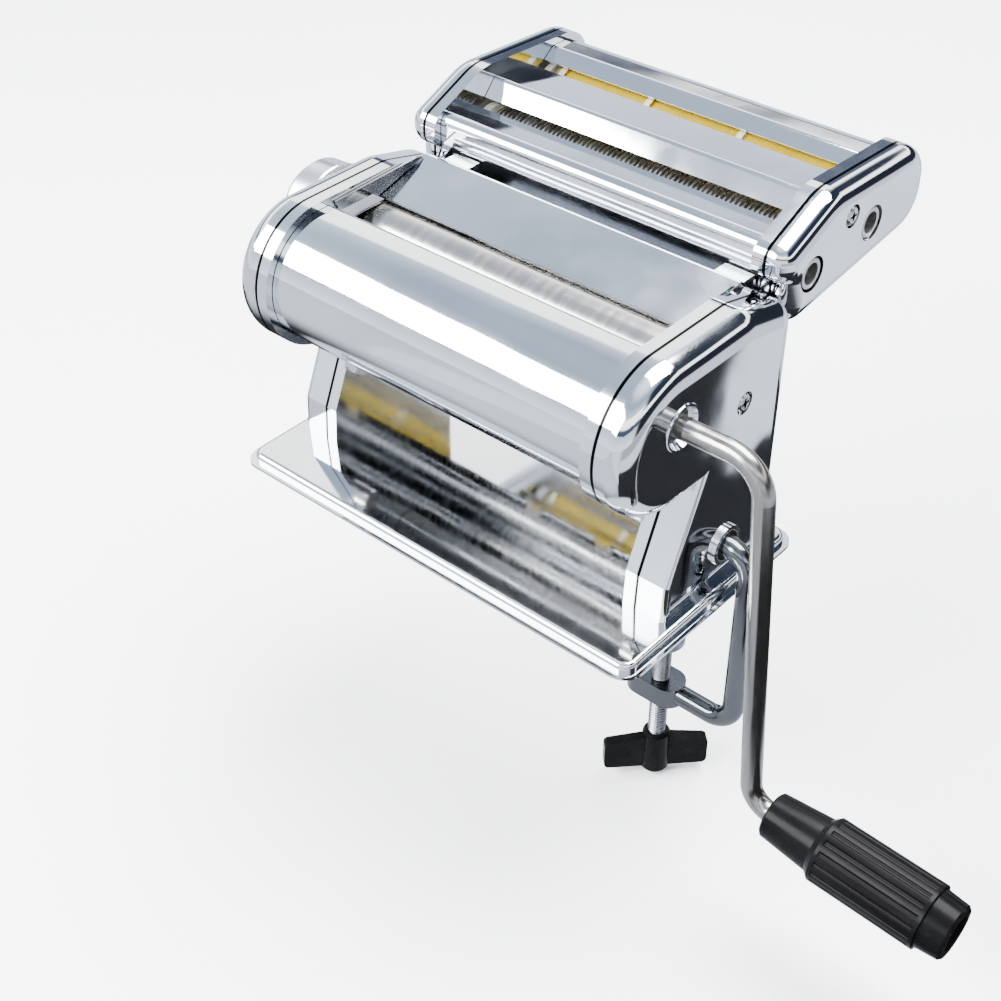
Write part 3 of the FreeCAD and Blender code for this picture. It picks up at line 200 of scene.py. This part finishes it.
rearward = (0.0, 1.0, 0.0)
upward = (0.0, 0.0, 1.0)


def banded(nodes, links, factor, bands):
    """Colours that run from band to band with the factor."""
    ramp = nodes.new("ShaderNodeValToRGB")
    for place, colour in bands[1:-1]:
        ramp.color_ramp.elements.new(place).color = (*colour, 1.0)
    ramp.color_ramp.elements[0].color = (*bands[0][1], 1.0)
    ramp.color_ramp.elements[len(bands) - 1].color = (*bands[-1][1], 1.0)
    links.new(factor, ramp.inputs["Fac"])
    return ramp.outputs["Color"]


def past(nodes, links, value, start, full):
    """Rises softly from 0 to 1 as the value goes from start to full."""
    step = nodes.new("ShaderNodeMapRange")
    step.interpolation_type = "SMOOTHSTEP"
    step.inputs["From Min"].default_value = start
    step.inputs["From Max"].default_value = full
    links.new(value, step.inputs["Value"])
    return step.outputs["Result"]


def along(nodes, links, vector, way):
    """How far a vector reaches along a way."""
    reach = nodes.new("ShaderNodeVectorMath")
    reach.operation = "DOT_PRODUCT"
    reach.inputs[1].default_value = way
    links.new(vector, reach.inputs[0])
    return reach.outputs["Value"]


def mixed(nodes, links, factor, first, second):
    """One colour turning into another with the factor; each is an output or a plain colour."""
    blend = nodes.new("ShaderNodeMix")
    blend.data_type = "RGBA"
    links.new(factor, blend.inputs["Factor"])
    for end, colour in (("A", first), ("B", second)):
        if isinstance(colour, bpy.types.NodeSocket):
            links.new(colour, blend.inputs[end])
        else:
            blend.inputs[end].default_value = (*colour, 1.0)
    return blend.outputs["Result"]


world = bpy.data.worlds.new("studio_tent")
world.use_nodes = True
bpy.context.scene.world = world
tent_nodes = world.node_tree.nodes
tent_links = world.node_tree.links
tent_place = tent_nodes.new("ShaderNodeTexCoord").outputs["Generated"]
tent_height = tent_nodes.new("ShaderNodeMapRange")
tent_height.inputs["From Min"].default_value = -1.0
tent_height.inputs["From Max"].default_value = 1.0
tent_links.new(along(tent_nodes, tent_links, tent_place, upward), tent_height.inputs["Value"])
tent_bright = banded(tent_nodes, tent_links, tent_height.outputs["Result"], tent_bands)
tent_shaded = banded(tent_nodes, tent_links, tent_height.outputs["Result"], shaded_bands)
tent_reach = along(tent_nodes, tent_links, tent_place, shaded_way)
tent_side = past(tent_nodes, tent_links, tent_reach, shade_start, shade_full)
tent_colour = mixed(tent_nodes, tent_links, tent_side, tent_bright, tent_shaded)
tent_links.new(tent_colour, tent_nodes["Background"].inputs["Color"])
tent_nodes["Background"].inputs["Strength"].default_value = tent_strength

lamp_aim = Vector((0.0, 0.0, 0.05))


def soft_lamp(name, place, width, height, power):
    """A rectangular soft box that points at the machine."""
    lamp_data = bpy.data.lights.new(name, "AREA")
    lamp_data.shape = "RECTANGLE"
    lamp_data.size = width
    lamp_data.size_y = height
    lamp_data.energy = power
    lamp = bpy.data.objects.new(name, lamp_data)
    lamp.location = place
    lamp.rotation_euler = (lamp_aim - Vector(place)).to_track_quat("-Z", "Y").to_euler()
    bpy.context.scene.collection.objects.link(lamp)


soft_lamp("front_box", place=(-0.55, -0.95, 0.80), width=1.5, height=0.7, power=110.0)
soft_lamp("top_box", place=(0.1, 0.6, 1.5), width=1.4, height=1.0, power=145.0)

ring_middle = (0.10, 0.0, 0.0)
ring_axes = (1.0, 1.0, 0.0)
ring_bands = (
    (0.000, (0.90, 0.90, 0.90)),
    (0.120, (0.80, 0.80, 0.84)),
    (0.135, (0.006, 0.006, 0.0063)),
    (0.375, (0.006, 0.006, 0.0063)),
    (0.420, (0.80, 0.80, 0.84)),
    (0.750, (0.85, 0.85, 0.8925)),
    (1.000, (0.40, 0.40, 0.40)),
)
open_shade = (0.70, 0.70, 0.728)
front_edge = -0.22
side_edge = -0.05
dark_end = 0.330
rear_edge = 0.345
corner_lean = (1.2, 1.0, 0.0)
corner_start = 0.01
corner_full = 0.07
patch_shade = (0.90, 0.90, 0.93)
patch_lean = (-1.79, 1.0, 0.0)
patch_start = -0.198
patch_full = -0.190
patch_near = 0.2225
patch_far = 0.2275


def both_sides(nodes, links, place):
    """A place with its signs dropped, so that left and right get the same."""
    folded = nodes.new("ShaderNodeVectorMath")
    folded.operation = "ABSOLUTE"
    links.new(place, folded.inputs[0])
    return folded.outputs["Vector"]


def away(nodes, links, place, middle, axes):
    """How far a place is from a middle, counted only along the axes that are 1."""
    centred = nodes.new("ShaderNodeMapping")
    centred.inputs["Location"].default_value = [-share for share in middle]
    centred.inputs["Scale"].default_value = axes
    distance = nodes.new("ShaderNodeVectorMath")
    distance.operation = "LENGTH"
    links.new(place, centred.inputs["Vector"])
    links.new(centred.outputs["Vector"], distance.inputs[0])
    return distance.outputs["Value"]


def combined(nodes, links, operation, first, second):
    """Two values made one by a named operation."""
    joined = nodes.new("ShaderNodeMath")
    joined.operation = operation
    links.new(first, joined.inputs[0])
    links.new(second, joined.inputs[1])
    return joined.outputs["Value"]


def ringed_floor():
    """Paper with a dark ring round the machine, open in front, and a pale patch past each end."""
    made, nodes, links, shader = set_up_finish("ringed_floor")
    place = place_on(nodes)
    folded = both_sides(nodes, links, place)
    ring = banded(nodes, links, away(nodes, links, folded, ring_middle, ring_axes), ring_bands)
    back = along(nodes, links, place, rearward)
    corner = along(nodes, links, place, corner_lean)
    past_front = past(nodes, links, back, front_edge, side_edge)
    past_corner = past(nodes, links, corner, corner_start, corner_full)
    behind = combined(nodes, links, "MAXIMUM", past_front, past_corner)
    before = past(nodes, links, back, rear_edge, dark_end)
    between = combined(nodes, links, "MULTIPLY", behind, before)
    shade = mixed(nodes, links, between, open_shade, ring)
    leaning = along(nodes, links, folded, patch_lean)
    outward = along(nodes, links, folded, rightward)
    past_lean = past(nodes, links, leaning, patch_start, patch_full)
    past_near = past(nodes, links, outward, patch_near, patch_far)
    patch = combined(nodes, links, "MULTIPLY", past_lean, past_near)
    links.new(mixed(nodes, links, patch, shade, patch_shade), shader.inputs["Base Color"])
    shader.inputs["Roughness"].default_value = 0.9
    return made


polish_floor = bpy.data.objects.new("polish_floor", floor_mesh.copy())
polish_floor.data.materials.clear()
polish_floor.data.materials.append(ringed_floor())
bpy.context.scene.collection.objects.link(polish_floor)
polish_floor.visible_camera = False
polish_floor.visible_diffuse = False
polish_floor.visible_shadow = False
polish_floor.visible_transmission = False
floor.visible_glossy = False

# Base. Pressed from one chromed sheet: a low tray turned over, with a rolled upper
# edge and a flat rim all round, on which the machine stands.
chrome_dark = (0.70, 0.72, 0.75)
chrome_bright = (0.82, 0.84, 0.87)
# Painted gap shade: the soft edge and the near-black colour of the band painted on cheeks and covers, where
# the gap between them is in shade.
gap_shade_fade = 0.0002
painted_gap_shade = (0.012, 0.012, 0.014)


def plated(name, dark, bright, smooth, smudged, sag, joint=None):
    """Chrome plate: nearly a mirror, with faint smudges and the slight waves of pressed sheet.

    The joint band, if given, is the range of distances from the machine's middle where the sheet's edge
    gets painted shade, standing for the shade in the gap between two sheets.
    """
    made, nodes, links, shader = set_up_finish(name)
    cloud = mottle(nodes, links, stretch=(14.0, 14.0, 14.0), detail=2.0)
    tint = two_tints(nodes, links, cloud, dark, bright)
    # Painted shade: a near-black band over the sheet's edge at the gap.
    if joint:
        outward = along(nodes, links, both_sides(nodes, links, place_on(nodes)), rightward)
        after_start = past(nodes, links, outward, joint[0] - gap_shade_fade, joint[0])
        before_end = past(nodes, links, outward, joint[1] + gap_shade_fade, joint[1])
        edge = combined(nodes, links, "MULTIPLY", after_start, before_end)
        tint = mixed(nodes, links, edge, tint, painted_gap_shade)
    links.new(tint, shader.inputs["Base Color"])
    smudge = mottle(nodes, links, stretch=(45.0, 45.0, 45.0), detail=5.0, low=smooth, high=smudged)
    links.new(smudge, shader.inputs["Roughness"])
    shader.inputs["Metallic"].default_value = 1.0
    wave = mottle(nodes, links, stretch=(22.0, 22.0, 22.0), detail=1.0)
    relief(nodes, links, shader, wave, depth=sag, strength=0.5)
    return made


def dress(finish, *names):
    """Gives CAD nodes their finish."""
    for name in names:
        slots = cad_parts[name].data.materials
        slots.clear()
        slots.append(finish)


base_finish = plated("base_chrome", chrome_dark, chrome_bright, smooth=0.04, smudged=0.10, sag=0.0001)
dress(base_finish, "base_plate")

# Cheeks and side covers. Each end of the machine is a flanged chromed sheet with a deep-drawn cover screwed
# over it; a thin band of painted shade on both stands for the shaded gap between the two.
# Painted shade band at the gap between each cheek and its cover, in metres from the middle.
cover_gap_shade_band = (0.0830, 0.0842)
cover_finish = plated("cover_chrome_painted_gap_shade", chrome_dark, chrome_bright, smooth=0.03, smudged=0.09, sag=0.0004,
                      joint=cover_gap_shade_band)
cheek_finish = plated("cheek_chrome_painted_gap_shade", chrome_dark, chrome_bright, smooth=0.05, smudged=0.12, sag=0.0003,
                      joint=cover_gap_shade_band)
dress(cover_finish, "side_cover_right", "side_cover_left")
dress(cheek_finish, "cheek_right", "cheek_left")

# Front and rear covers. Bent from chromed sheet and held between the cheeks: the round
# nose in front, the sloping feed tray behind the rollers and the guides at its ends.
nose_finish = plated("nose_chrome", chrome_dark, chrome_bright, smooth=0.03, smudged=0.10, sag=0.0003)
tray_finish = plated("tray_chrome", (0.66, 0.68, 0.71), (0.78, 0.80, 0.83),
                     smooth=0.08, smudged=0.16, sag=0.0004)
# Painted shade: the guides' chrome is darker than the other sheets, for the shading at the ends of the
# head.
shaded_guide_finish = plated("guide_chrome_painted_shade", (0.40, 0.42, 0.46), (0.52, 0.54, 0.58),
                      smooth=0.06, smudged=0.14, sag=0.0003)
dress(nose_finish, "front_cover")
dress(tray_finish, "rear_cover")
dress(shaded_guide_finish, "dough_guides")

# Rollers. Turned from steel and ground smooth, with journals that run in pale nylon
# bushes and a gear on each right-hand journal; steel scraper strips lie under them.


def turned(name, dark, bright, smooth, rough, line_step):
    """Turned steel: fine rings round the X axis under a satin sheen."""
    made, nodes, links, shader = set_up_finish(name)
    rings = mottle(nodes, links, stretch=(1.0 / line_step, 2.0, 2.0), detail=2.0)
    links.new(two_tints(nodes, links, rings, dark, bright), shader.inputs["Base Color"])
    sheen = mottle(nodes, links, stretch=(400.0, 12.0, 12.0), detail=3.0, low=smooth, high=rough)
    links.new(sheen, shader.inputs["Roughness"])
    shader.inputs["Metallic"].default_value = 1.0
    relief(nodes, links, shader, rings, depth=0.00001, strength=0.25)
    return made


def bearing_nylon():
    """Pale moulded nylon with a dull grain."""
    made, nodes, links, shader = set_up_finish("bearing_nylon")
    cloud = mottle(nodes, links, stretch=(60.0, 60.0, 60.0), detail=3.0)
    tint = two_tints(nodes, links, cloud, (0.70, 0.69, 0.64), (0.80, 0.79, 0.74))
    links.new(tint, shader.inputs["Base Color"])
    dulling = mottle(nodes, links, stretch=(300.0, 300.0, 300.0), detail=3.0, low=0.45, high=0.65)
    links.new(dulling, shader.inputs["Roughness"])
    grain = mottle(nodes, links, stretch=(900.0, 900.0, 900.0), detail=2.0)
    relief(nodes, links, shader, grain, depth=0.00005, strength=0.3)
    return made


roller_finish = turned("roller_steel", (0.50, 0.48, 0.45), (0.56, 0.54, 0.51), smooth=0.17, rough=0.25,
                       line_step=0.0003)
gear_finish = turned("gear_steel", (0.40, 0.40, 0.39), (0.52, 0.52, 0.50), smooth=0.30, rough=0.45,
                     line_step=0.0009)
strip_finish = plated("strip_steel", (0.48, 0.48, 0.48), (0.60, 0.60, 0.60),
                      smooth=0.20, smudged=0.34, sag=0.0002)
bush_finish = bearing_nylon()
dress(roller_finish, "front_roller", "rear_roller")
dress(bush_finish, "roller_bushes", "carriage_bushes")
dress(gear_finish, "front_gear", "rear_gear", "drive_pin")
dress(strip_finish, "front_scraper", "rear_scraper")

# Frame rods. Turned steel spacers between the cheeks, each held by a screw through
# either cheek, and a round steel nut on the inside of each leg.
rod_finish = turned("rod_steel", (0.52, 0.51, 0.49), (0.64, 0.63, 0.61),
                    smooth=0.20, rough=0.32, line_step=0.0008)
dress(rod_finish, "tie_rods", "tie_screws", "leg_studs")

# Thickness regulator. A sliding steel carriage holds the rear roller; an eccentric on
# the knob's shaft moves it. The satin silver knob is pulled against a spring to turn it,
# and has dark numerals round its face.
knob_finish = plated("knob_silver", (0.56, 0.59, 0.63), (0.68, 0.71, 0.75),
                     smooth=0.16, smudged=0.28, sag=0.0002)
dial_finish = plated("dial_dark", (0.30, 0.31, 0.33), (0.38, 0.39, 0.41),
                     smooth=0.28, smudged=0.40, sag=0.0002)
cap_finish = plated("cap_chrome", chrome_dark, chrome_bright, smooth=0.10, smudged=0.20, sag=0.0002)
number_finish = plated("number_dark", (0.05, 0.05, 0.06), (0.09, 0.09, 0.10),
                       smooth=0.35, smudged=0.50, sag=0.0001)
dress(rod_finish, "carriage_left", "carriage_right", "carriage_bar", "regulator_shaft")
dress(knob_finish, "regulator_knob")
dress(dial_finish, "regulator_dial")
dress(cap_finish, "knob_screw")

knob_numbers = range(1, 10)
number_step = math.radians(22.5)
number_radius = 0.0135
number_height = 0.0045
number_relief = 0.0002
weld_distance = 1e-7


def add_piece(name, shape, finish, body):
    """Makes a finished mesh a piece of the object that moves with a body."""
    bmesh.ops.remove_doubles(shape, verts=shape.verts, dist=weld_distance)
    bmesh.ops.recalc_face_normals(shape, faces=shape.faces)
    mesh = bpy.data.meshes.new(name)
    shape.to_mesh(mesh)
    shape.free()
    mesh.materials.append(finish)
    piece = bpy.data.objects.new(name, mesh)
    bpy.context.scene.collection.objects.link(piece)
    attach(piece, body)
    return piece


knob_face_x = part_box("regulator_knob")[0].x
knob_axis = Vector((knob_face_x, 0.0065, 0.0955))
face_out = Matrix.Rotation(math.radians(-90), 4, "Y") @ Matrix.Rotation(math.radians(-90), 4, "Z")
numerals = bmesh.new()
for count, number in enumerate(knob_numbers):
    letter = bpy.data.curves.new("number", "FONT")
    letter.body = str(number)
    letter.align_x = "CENTER"
    letter.align_y = "CENTER"
    letter.size = number_height
    letter.extrude = number_relief
    letter_object = bpy.data.objects.new("number", letter)
    letter_mesh = bpy.data.meshes.new_from_object(letter_object)
    around = Matrix.Rotation(math.pi / 2 - count * number_step, 4, "X")
    outwards = Matrix.Translation((0.0, 0.0, number_radius))
    letter_mesh.transform(Matrix.Translation(knob_axis) @ around @ outwards @ face_out)
    numerals.from_mesh(letter_mesh)
    bpy.data.objects.remove(letter_object)
    bpy.data.meshes.remove(letter_mesh)
add_piece("knob_numbers", numerals, number_finish, "knob")

# Knob spring. Round spring wire wound in a few open turns between the knob's floor and
# the cap of its screw; it is pressed together against the cap when the knob is pulled.
wire_radius = 0.0004
wire_sides = 10
coil_radius = 0.0056
coil_turns = 4
turn_steps = 28


def wound_spring(low_x, high_x):
    """A ring of wire wound along X about the knob's axis, with both ends closed."""
    shape = bmesh.new()
    start_x = high_x - wire_radius
    run = high_x - low_x - 2 * wire_radius
    top = Matrix.Translation((start_x, knob_axis.y, knob_axis.z + coil_radius))
    across_wire = top @ Matrix.Rotation(math.pi / 2, 4, "X")
    bmesh.ops.create_circle(shape, segments=wire_sides, radius=wire_radius, matrix=across_wire)
    steps = coil_turns * turn_steps
    bmesh.ops.spin(shape, geom=shape.verts[:] + shape.edges[:], axis=(1.0, 0.0, 0.0),
                   cent=(start_x, knob_axis.y, knob_axis.z), dvec=(-run / steps, 0.0, 0.0),
                   angle=coil_turns * 2 * math.pi, steps=steps, use_merge=False)
    bmesh.ops.holes_fill(shape, edges=[e for e in shape.edges if e.is_boundary], sides=0)
    return shape


spring_low, spring_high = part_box("knob_spring")
spring_finish = turned("spring_steel", (0.42, 0.42, 0.42), (0.56, 0.56, 0.56), smooth=0.18, rough=0.30,
                       line_step=0.0005)
coil_shape = wound_spring(spring_low.x, spring_high.x)
knob_coil = add_piece("knob_coil", coil_shape, spring_finish, "regulator")
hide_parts("knob_spring")
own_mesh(knob_coil)

# Cover screws. Small nickel-plated pan heads with a cross recess, one through each
# drawn cover into a post on the cheek.
screw_finish = plated("screw_nickel", (0.52, 0.52, 0.51), (0.66, 0.66, 0.65),
                      smooth=0.14, smudged=0.26, sag=0.0001)
cover_screw_places = ((1, 0.0160, 0.0850), (-1, 0.0300, 0.0680))
head_radius = 0.0040
head_height = 0.0022
head_sides = 32
head_dome = ((0.30, 1.0), (0.62, 0.95), (0.86, 0.82), (1.0, 0.64))
shank_radius = 0.0019
shank_depth = 0.003
recess_reach = 0.0021
recess_half = 0.00045
recess_depth = 0.0013
recess_taper = 0.7


def raise_loop(shape, edges, height, radius):
    """Carries a round loop on to a new height and radius, and gives its new edges."""
    grown = bmesh.ops.extrude_edge_only(shape, edges=edges)["geom"]
    for vert in [g for g in grown if isinstance(g, bmesh.types.BMVert)]:
        across = Vector((vert.co.x, vert.co.y, 0.0)).normalized() * radius
        vert.co = (across.x, across.y, height)
    return [g for g in grown if isinstance(g, bmesh.types.BMEdge)]


def pan_head(seat, side):
    """One screw along X: a short shank, a domed head and its cross recess."""
    shape = bmesh.new()
    bmesh.ops.create_circle(shape, cap_ends=True, segments=head_sides, radius=shank_radius,
                            matrix=Matrix.Translation((0.0, 0.0, -shank_depth)))
    edges = raise_loop(shape, shape.edges[:], 0.0, shank_radius)
    edges = raise_loop(shape, edges, 0.0, head_radius)
    for rise, width in head_dome:
        edges = raise_loop(shape, edges, rise * head_height, width * head_radius)
    corners = [(recess_half, recess_reach), (recess_half, recess_half), (recess_reach, recess_half)]
    cross = []
    for quarter in range(4):
        turn = Matrix.Rotation(-quarter * math.pi / 2, 3, "Z")
        cross += [shape.verts.new(turn @ Vector((u, v, head_height))) for u, v in corners]
    lip = [shape.edges.new((cross[i - 1], cross[i])) for i in range(len(cross))]
    bmesh.ops.bridge_loops(shape, edges=edges + lip)
    sunk = bmesh.ops.extrude_edge_only(shape, edges=lip)["geom"]
    for vert in [g for g in sunk if isinstance(g, bmesh.types.BMVert)]:
        vert.co = (recess_taper * vert.co.x, recess_taper * vert.co.y, head_height - recess_depth)
    bmesh.ops.contextual_create(shape, geom=[g for g in sunk if isinstance(g, bmesh.types.BMEdge)])
    upright = Matrix.Rotation(side * math.pi / 2, 4, "Y")
    bmesh.ops.transform(shape, matrix=Matrix.Translation(seat) @ upright, verts=shape.verts)
    return shape


def screws(name, node, body, places):
    """A set of cover screws in place of one CAD node; each place is (side, y, z)."""
    low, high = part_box(node)
    joined = bmesh.new()
    for side, y, z in places:
        face = high.x if side > 0 else low.x
        one = pan_head(Vector((face - side * head_height, y, z)), side)
        holder = bpy.data.meshes.new(name)
        one.to_mesh(holder)
        one.free()
        joined.from_mesh(holder)
        bpy.data.meshes.remove(holder)
    made = add_piece(name, joined, screw_finish, body)
    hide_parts(node)


screws("cover_pan_screws", "cover_screws", "frame", cover_screw_places)

# Crank. One steel rod bent twice, satin nickel, its tip slotted for the cross pin in
# the roller's socket; a chromed eyelet lines the hole in the cover.


def drawn(name, dark, bright, smooth, rough):
    """Drawn rod: fine lines along its length under a satin nickel plate."""
    made, nodes, links, shader = set_up_finish(name)
    lines = mottle(nodes, links, stretch=(700.0, 700.0, 25.0), detail=3.0)
    links.new(two_tints(nodes, links, lines, dark, bright), shader.inputs["Base Color"])
    satin = mottle(nodes, links, stretch=(90.0, 90.0, 30.0), detail=4.0, low=smooth, high=rough)
    links.new(satin, shader.inputs["Roughness"])
    shader.inputs["Metallic"].default_value = 1.0
    relief(nodes, links, shader, lines, depth=0.00003, strength=0.3)
    return made


crank_finish = drawn("crank_nickel", (0.27, 0.26, 0.245), (0.36, 0.35, 0.33), smooth=0.17, rough=0.25)
eyelet_finish = plated("eyelet_chrome", chrome_dark, chrome_bright, smooth=0.06, smudged=0.14, sag=0.0001)
dress(crank_finish, "crank_rod")
dress(eyelet_finish, "crank_bush")
dress(screw_finish, "grip_washer")

# Crank grip. Moulded in one piece from black plastic, with flutes along its middle. It
# turns freely on the end of the crank's rod, and a washer keeps it there.


def moulded_black(name, dark, bright, smooth, rough):
    """Black moulded plastic: faint flow marks and a fine skin."""
    made, nodes, links, shader = set_up_finish(name)
    flow = mottle(nodes, links, stretch=(30.0, 90.0, 90.0), detail=3.0)
    links.new(two_tints(nodes, links, flow, dark, bright), shader.inputs["Base Color"])
    gloss = mottle(nodes, links, stretch=(120.0, 120.0, 120.0), detail=4.0, low=smooth, high=rough)
    links.new(gloss, shader.inputs["Roughness"])
    shader.inputs["Specular IOR Level"].default_value = 0.05
    skin = mottle(nodes, links, stretch=(1500.0, 1500.0, 1500.0), detail=2.0)
    relief(nodes, links, shader, skin, depth=0.00002, strength=0.2)
    return made


grip_finish = moulded_black("grip_black", (0.0016, 0.0016, 0.0018), (0.0040, 0.0040, 0.0044),
                            smooth=0.20, rough=0.30)
dress(grip_finish, "crank_grip")

# Clamp. A chromed rod bent to a hook and flattened to a paddle at its end. It goes into
# a chromed sleeve with a black ring in its mouth, and a zinc-plated screw with a black
# wing knob runs through the paddle and lifts the pad.
sleeve_axis = (0.0, 0.012, 0.0215)
sleeve_axes = (0.0, 1.0, 1.0)
mouth_radius = 0.0066
mouth_fade = 0.02
mouth_black = (0.003, 0.003, 0.0035)
thread_place = Vector((0.0735, 0.0120, 0.0))
thread_pitch = 0.0015
thread_steps = 24
thread_root = 0.00325
thread_crest = 0.00395
crest_flat = 0.12 * thread_pitch
thread_weld = 1e-6


def collar_finish():
    """Chromed sleeve with a black plastic ring in its mouth, by the distance from its axis."""
    made, nodes, links, shader = set_up_finish("collar_finish")
    distance = away(nodes, links, place_on(nodes), sleeve_axis, sleeve_axes)
    rim = past(nodes, links, distance, (1.0 - mouth_fade) * mouth_radius, (1.0 + mouth_fade) * mouth_radius)
    links.new(two_tints(nodes, links, rim, mouth_black, chrome_bright), shader.inputs["Base Color"])
    links.new(rim, shader.inputs["Metallic"])
    gloss = mottle(nodes, links, stretch=(120.0, 120.0, 120.0), detail=4.0, low=0.10, high=0.22)
    links.new(gloss, shader.inputs["Roughness"])
    wave = mottle(nodes, links, stretch=(90.0, 90.0, 90.0), detail=2.0)
    relief(nodes, links, shader, wave, depth=0.00005, strength=0.3)
    return made


def threaded_rod(bottom, top):
    """A rolled thread: one tooth's outline wound up the axis, with plain ends."""
    shape = bmesh.new()
    tooth = ((thread_root, 0.0), (thread_crest, thread_pitch / 2 - crest_flat),
             (thread_crest, thread_pitch / 2 + crest_flat), (thread_root, thread_pitch))
    points = [shape.verts.new((radius, 0.0, bottom + rise)) for radius, rise in tooth]
    outline = [shape.edges.new(pair) for pair in zip(points, points[1:])]
    turns = int((top - bottom) / thread_pitch) - 1
    bmesh.ops.spin(shape, geom=points + outline, axis=(0.0, 0.0, 1.0), cent=(0.0, 0.0, 0.0),
                   dvec=(0.0, 0.0, thread_pitch / thread_steps), angle=turns * 2 * math.pi,
                   steps=turns * thread_steps, use_merge=False)
    bmesh.ops.remove_doubles(shape, verts=shape.verts, dist=thread_weld)
    bmesh.ops.holes_fill(shape, edges=[e for e in shape.edges if e.is_boundary], sides=0)
    bmesh.ops.translate(shape, vec=thread_place, verts=shape.verts)
    return shape


# Painted dark reflection: the clamp rod's chrome is nearly black, for the dark surroundings that its polish
# reflects.
dark_reflection_clamp_finish = plated("clamp_chrome_painted_dark", (0.085, 0.088, 0.094), (0.13, 0.135, 0.145),
                      smooth=0.08, smudged=0.16,
                      sag=0.0001)
thread_finish = plated("thread_zinc", (0.17, 0.18, 0.20), (0.27, 0.28, 0.30),
                       smooth=0.20, smudged=0.34, sag=0.0001)
wing_finish = moulded_black("wing_black", (0.0014, 0.0014, 0.0016), (0.0034, 0.0034, 0.0038),
                            smooth=0.14, rough=0.24)
dress(collar_finish(), "clamp_bush")
dress(dark_reflection_clamp_finish, "clamp_rod")
dress(thread_finish, "clamp_pad")
dress(wing_finish, "wing_knob")
screw_low, screw_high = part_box("clamp_screw")
thread_shape = threaded_rod(screw_low.z, screw_high.z)
clamp_thread = add_piece("clamp_thread", thread_shape, thread_finish, "clamp_screw")
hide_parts("clamp_screw")

# Cutter unit, housing. A second pair of flanged cheeks with drawn covers and three bent
# sheets between them; hooks on its front edge hang on rails behind the head.
unit_screw_places = ((1, 0.0845, 0.1310), (-1, 0.0845, 0.1310))
unit_sheet_finish = plated("cutter_sheet_chrome", chrome_dark, chrome_bright,
                           smooth=0.04, smudged=0.11, sag=0.0003)
# The cutter unit's cheeks and covers carry the same painted gap shade.
dress(cover_finish, "cutter_cover_right", "cutter_cover_left")
dress(cheek_finish, "cutter_cheek_right", "cutter_cheek_left")
dress(unit_sheet_finish, "cutter_front_cover", "cutter_center_cover", "cutter_rear_cover")
dress(strip_finish, "cutter_rails", "cutter_hooks")
dress(rod_finish, "cutter_tie_rods")
screws("cutter_pan_screws", "cutter_cover_screws", "cutter", unit_screw_places)

# Cutter rollers. Ringed steel rollers cut narrow strands, and yellow drums with pale
# dividing rings cut wide ribbons; steel combs below them keep the lanes clear.
lane_half = 0.023
ring_half = 0.0015
drum_half = 0.0725
drum_reach = 0.1
drum_yellow = (0.40, 0.28, 0.012)
ring_pale = (0.60, 0.58, 0.46)
journal_steel = (0.50, 0.50, 0.49)
no_metal = (0.0, 0.0, 0.0)
all_metal = (1.0, 1.0, 1.0)


def across_drum(nodes, links, steps):
    """A colour that changes sharply with the distance from the machine's middle."""
    share = nodes.new("ShaderNodeMapRange")
    share.inputs["From Max"].default_value = drum_reach
    ramp = nodes.new("ShaderNodeValToRGB")
    ramp.color_ramp.interpolation = "CONSTANT"
    ramp.color_ramp.elements.remove(ramp.color_ramp.elements[1])
    ramp.color_ramp.elements[0].color = (*steps[0][1], 1.0)
    for distance, colour in steps[1:]:
        ramp.color_ramp.elements.new(distance / drum_reach).color = (*colour, 1.0)
    outward = along(nodes, links, both_sides(nodes, links, place_on(nodes)), rightward)
    links.new(outward, share.inputs["Value"])
    links.new(share.outputs["Result"], ramp.inputs["Fac"])
    return ramp.outputs["Color"]


def drum_finish():
    """Yellow drums with pale dividing rings, and bare steel at the journals and sockets."""
    made, nodes, links, shader = set_up_finish("drum_finish")
    lanes = [(0.0, drum_yellow)]
    for ring in (lane_half, 3 * lane_half):
        lanes.append((ring - ring_half, ring_pale))
        lanes.append((ring + ring_half, drum_yellow))
    lanes.append((drum_half, journal_steel))
    cloud = mottle(nodes, links, stretch=(160.0, 40.0, 40.0), detail=3.0)
    tint = nodes.new("ShaderNodeMix")
    tint.data_type = "RGBA"
    tint.blend_type = "MULTIPLY"
    tint.inputs["Factor"].default_value = 1.0
    links.new(across_drum(nodes, links, lanes), tint.inputs["A"])
    links.new(two_tints(nodes, links, cloud, (0.84, 0.84, 0.84), (1.0, 1.0, 1.0)), tint.inputs["B"])
    links.new(tint.outputs["Result"], shader.inputs["Base Color"])
    metal = across_drum(nodes, links, [(0.0, no_metal), (drum_half, all_metal)])
    links.new(metal, shader.inputs["Metallic"])
    sheen = mottle(nodes, links, stretch=(300.0, 30.0, 30.0), detail=3.0, low=0.28, high=0.42)
    links.new(sheen, shader.inputs["Roughness"])
    lines = mottle(nodes, links, stretch=(1200.0, 3.0, 3.0), detail=2.0)
    relief(nodes, links, shader, lines, depth=0.00001, strength=0.25)
    return made


ring_finish = turned("ring_steel", (0.42, 0.42, 0.41), (0.56, 0.56, 0.55),
                     smooth=0.22, rough=0.36, line_step=0.0006)
dress(ring_finish, "narrow_front_cutter", "narrow_rear_cutter")
dress(drum_finish(), "wide_front_cutter", "wide_rear_cutter")
dress(gear_finish, "narrow_front_gear", "narrow_rear_gear", "wide_front_gear", "wide_rear_gear")
dress(bush_finish, "cutter_bushes")
dress(strip_finish, "cutter_scrapers")
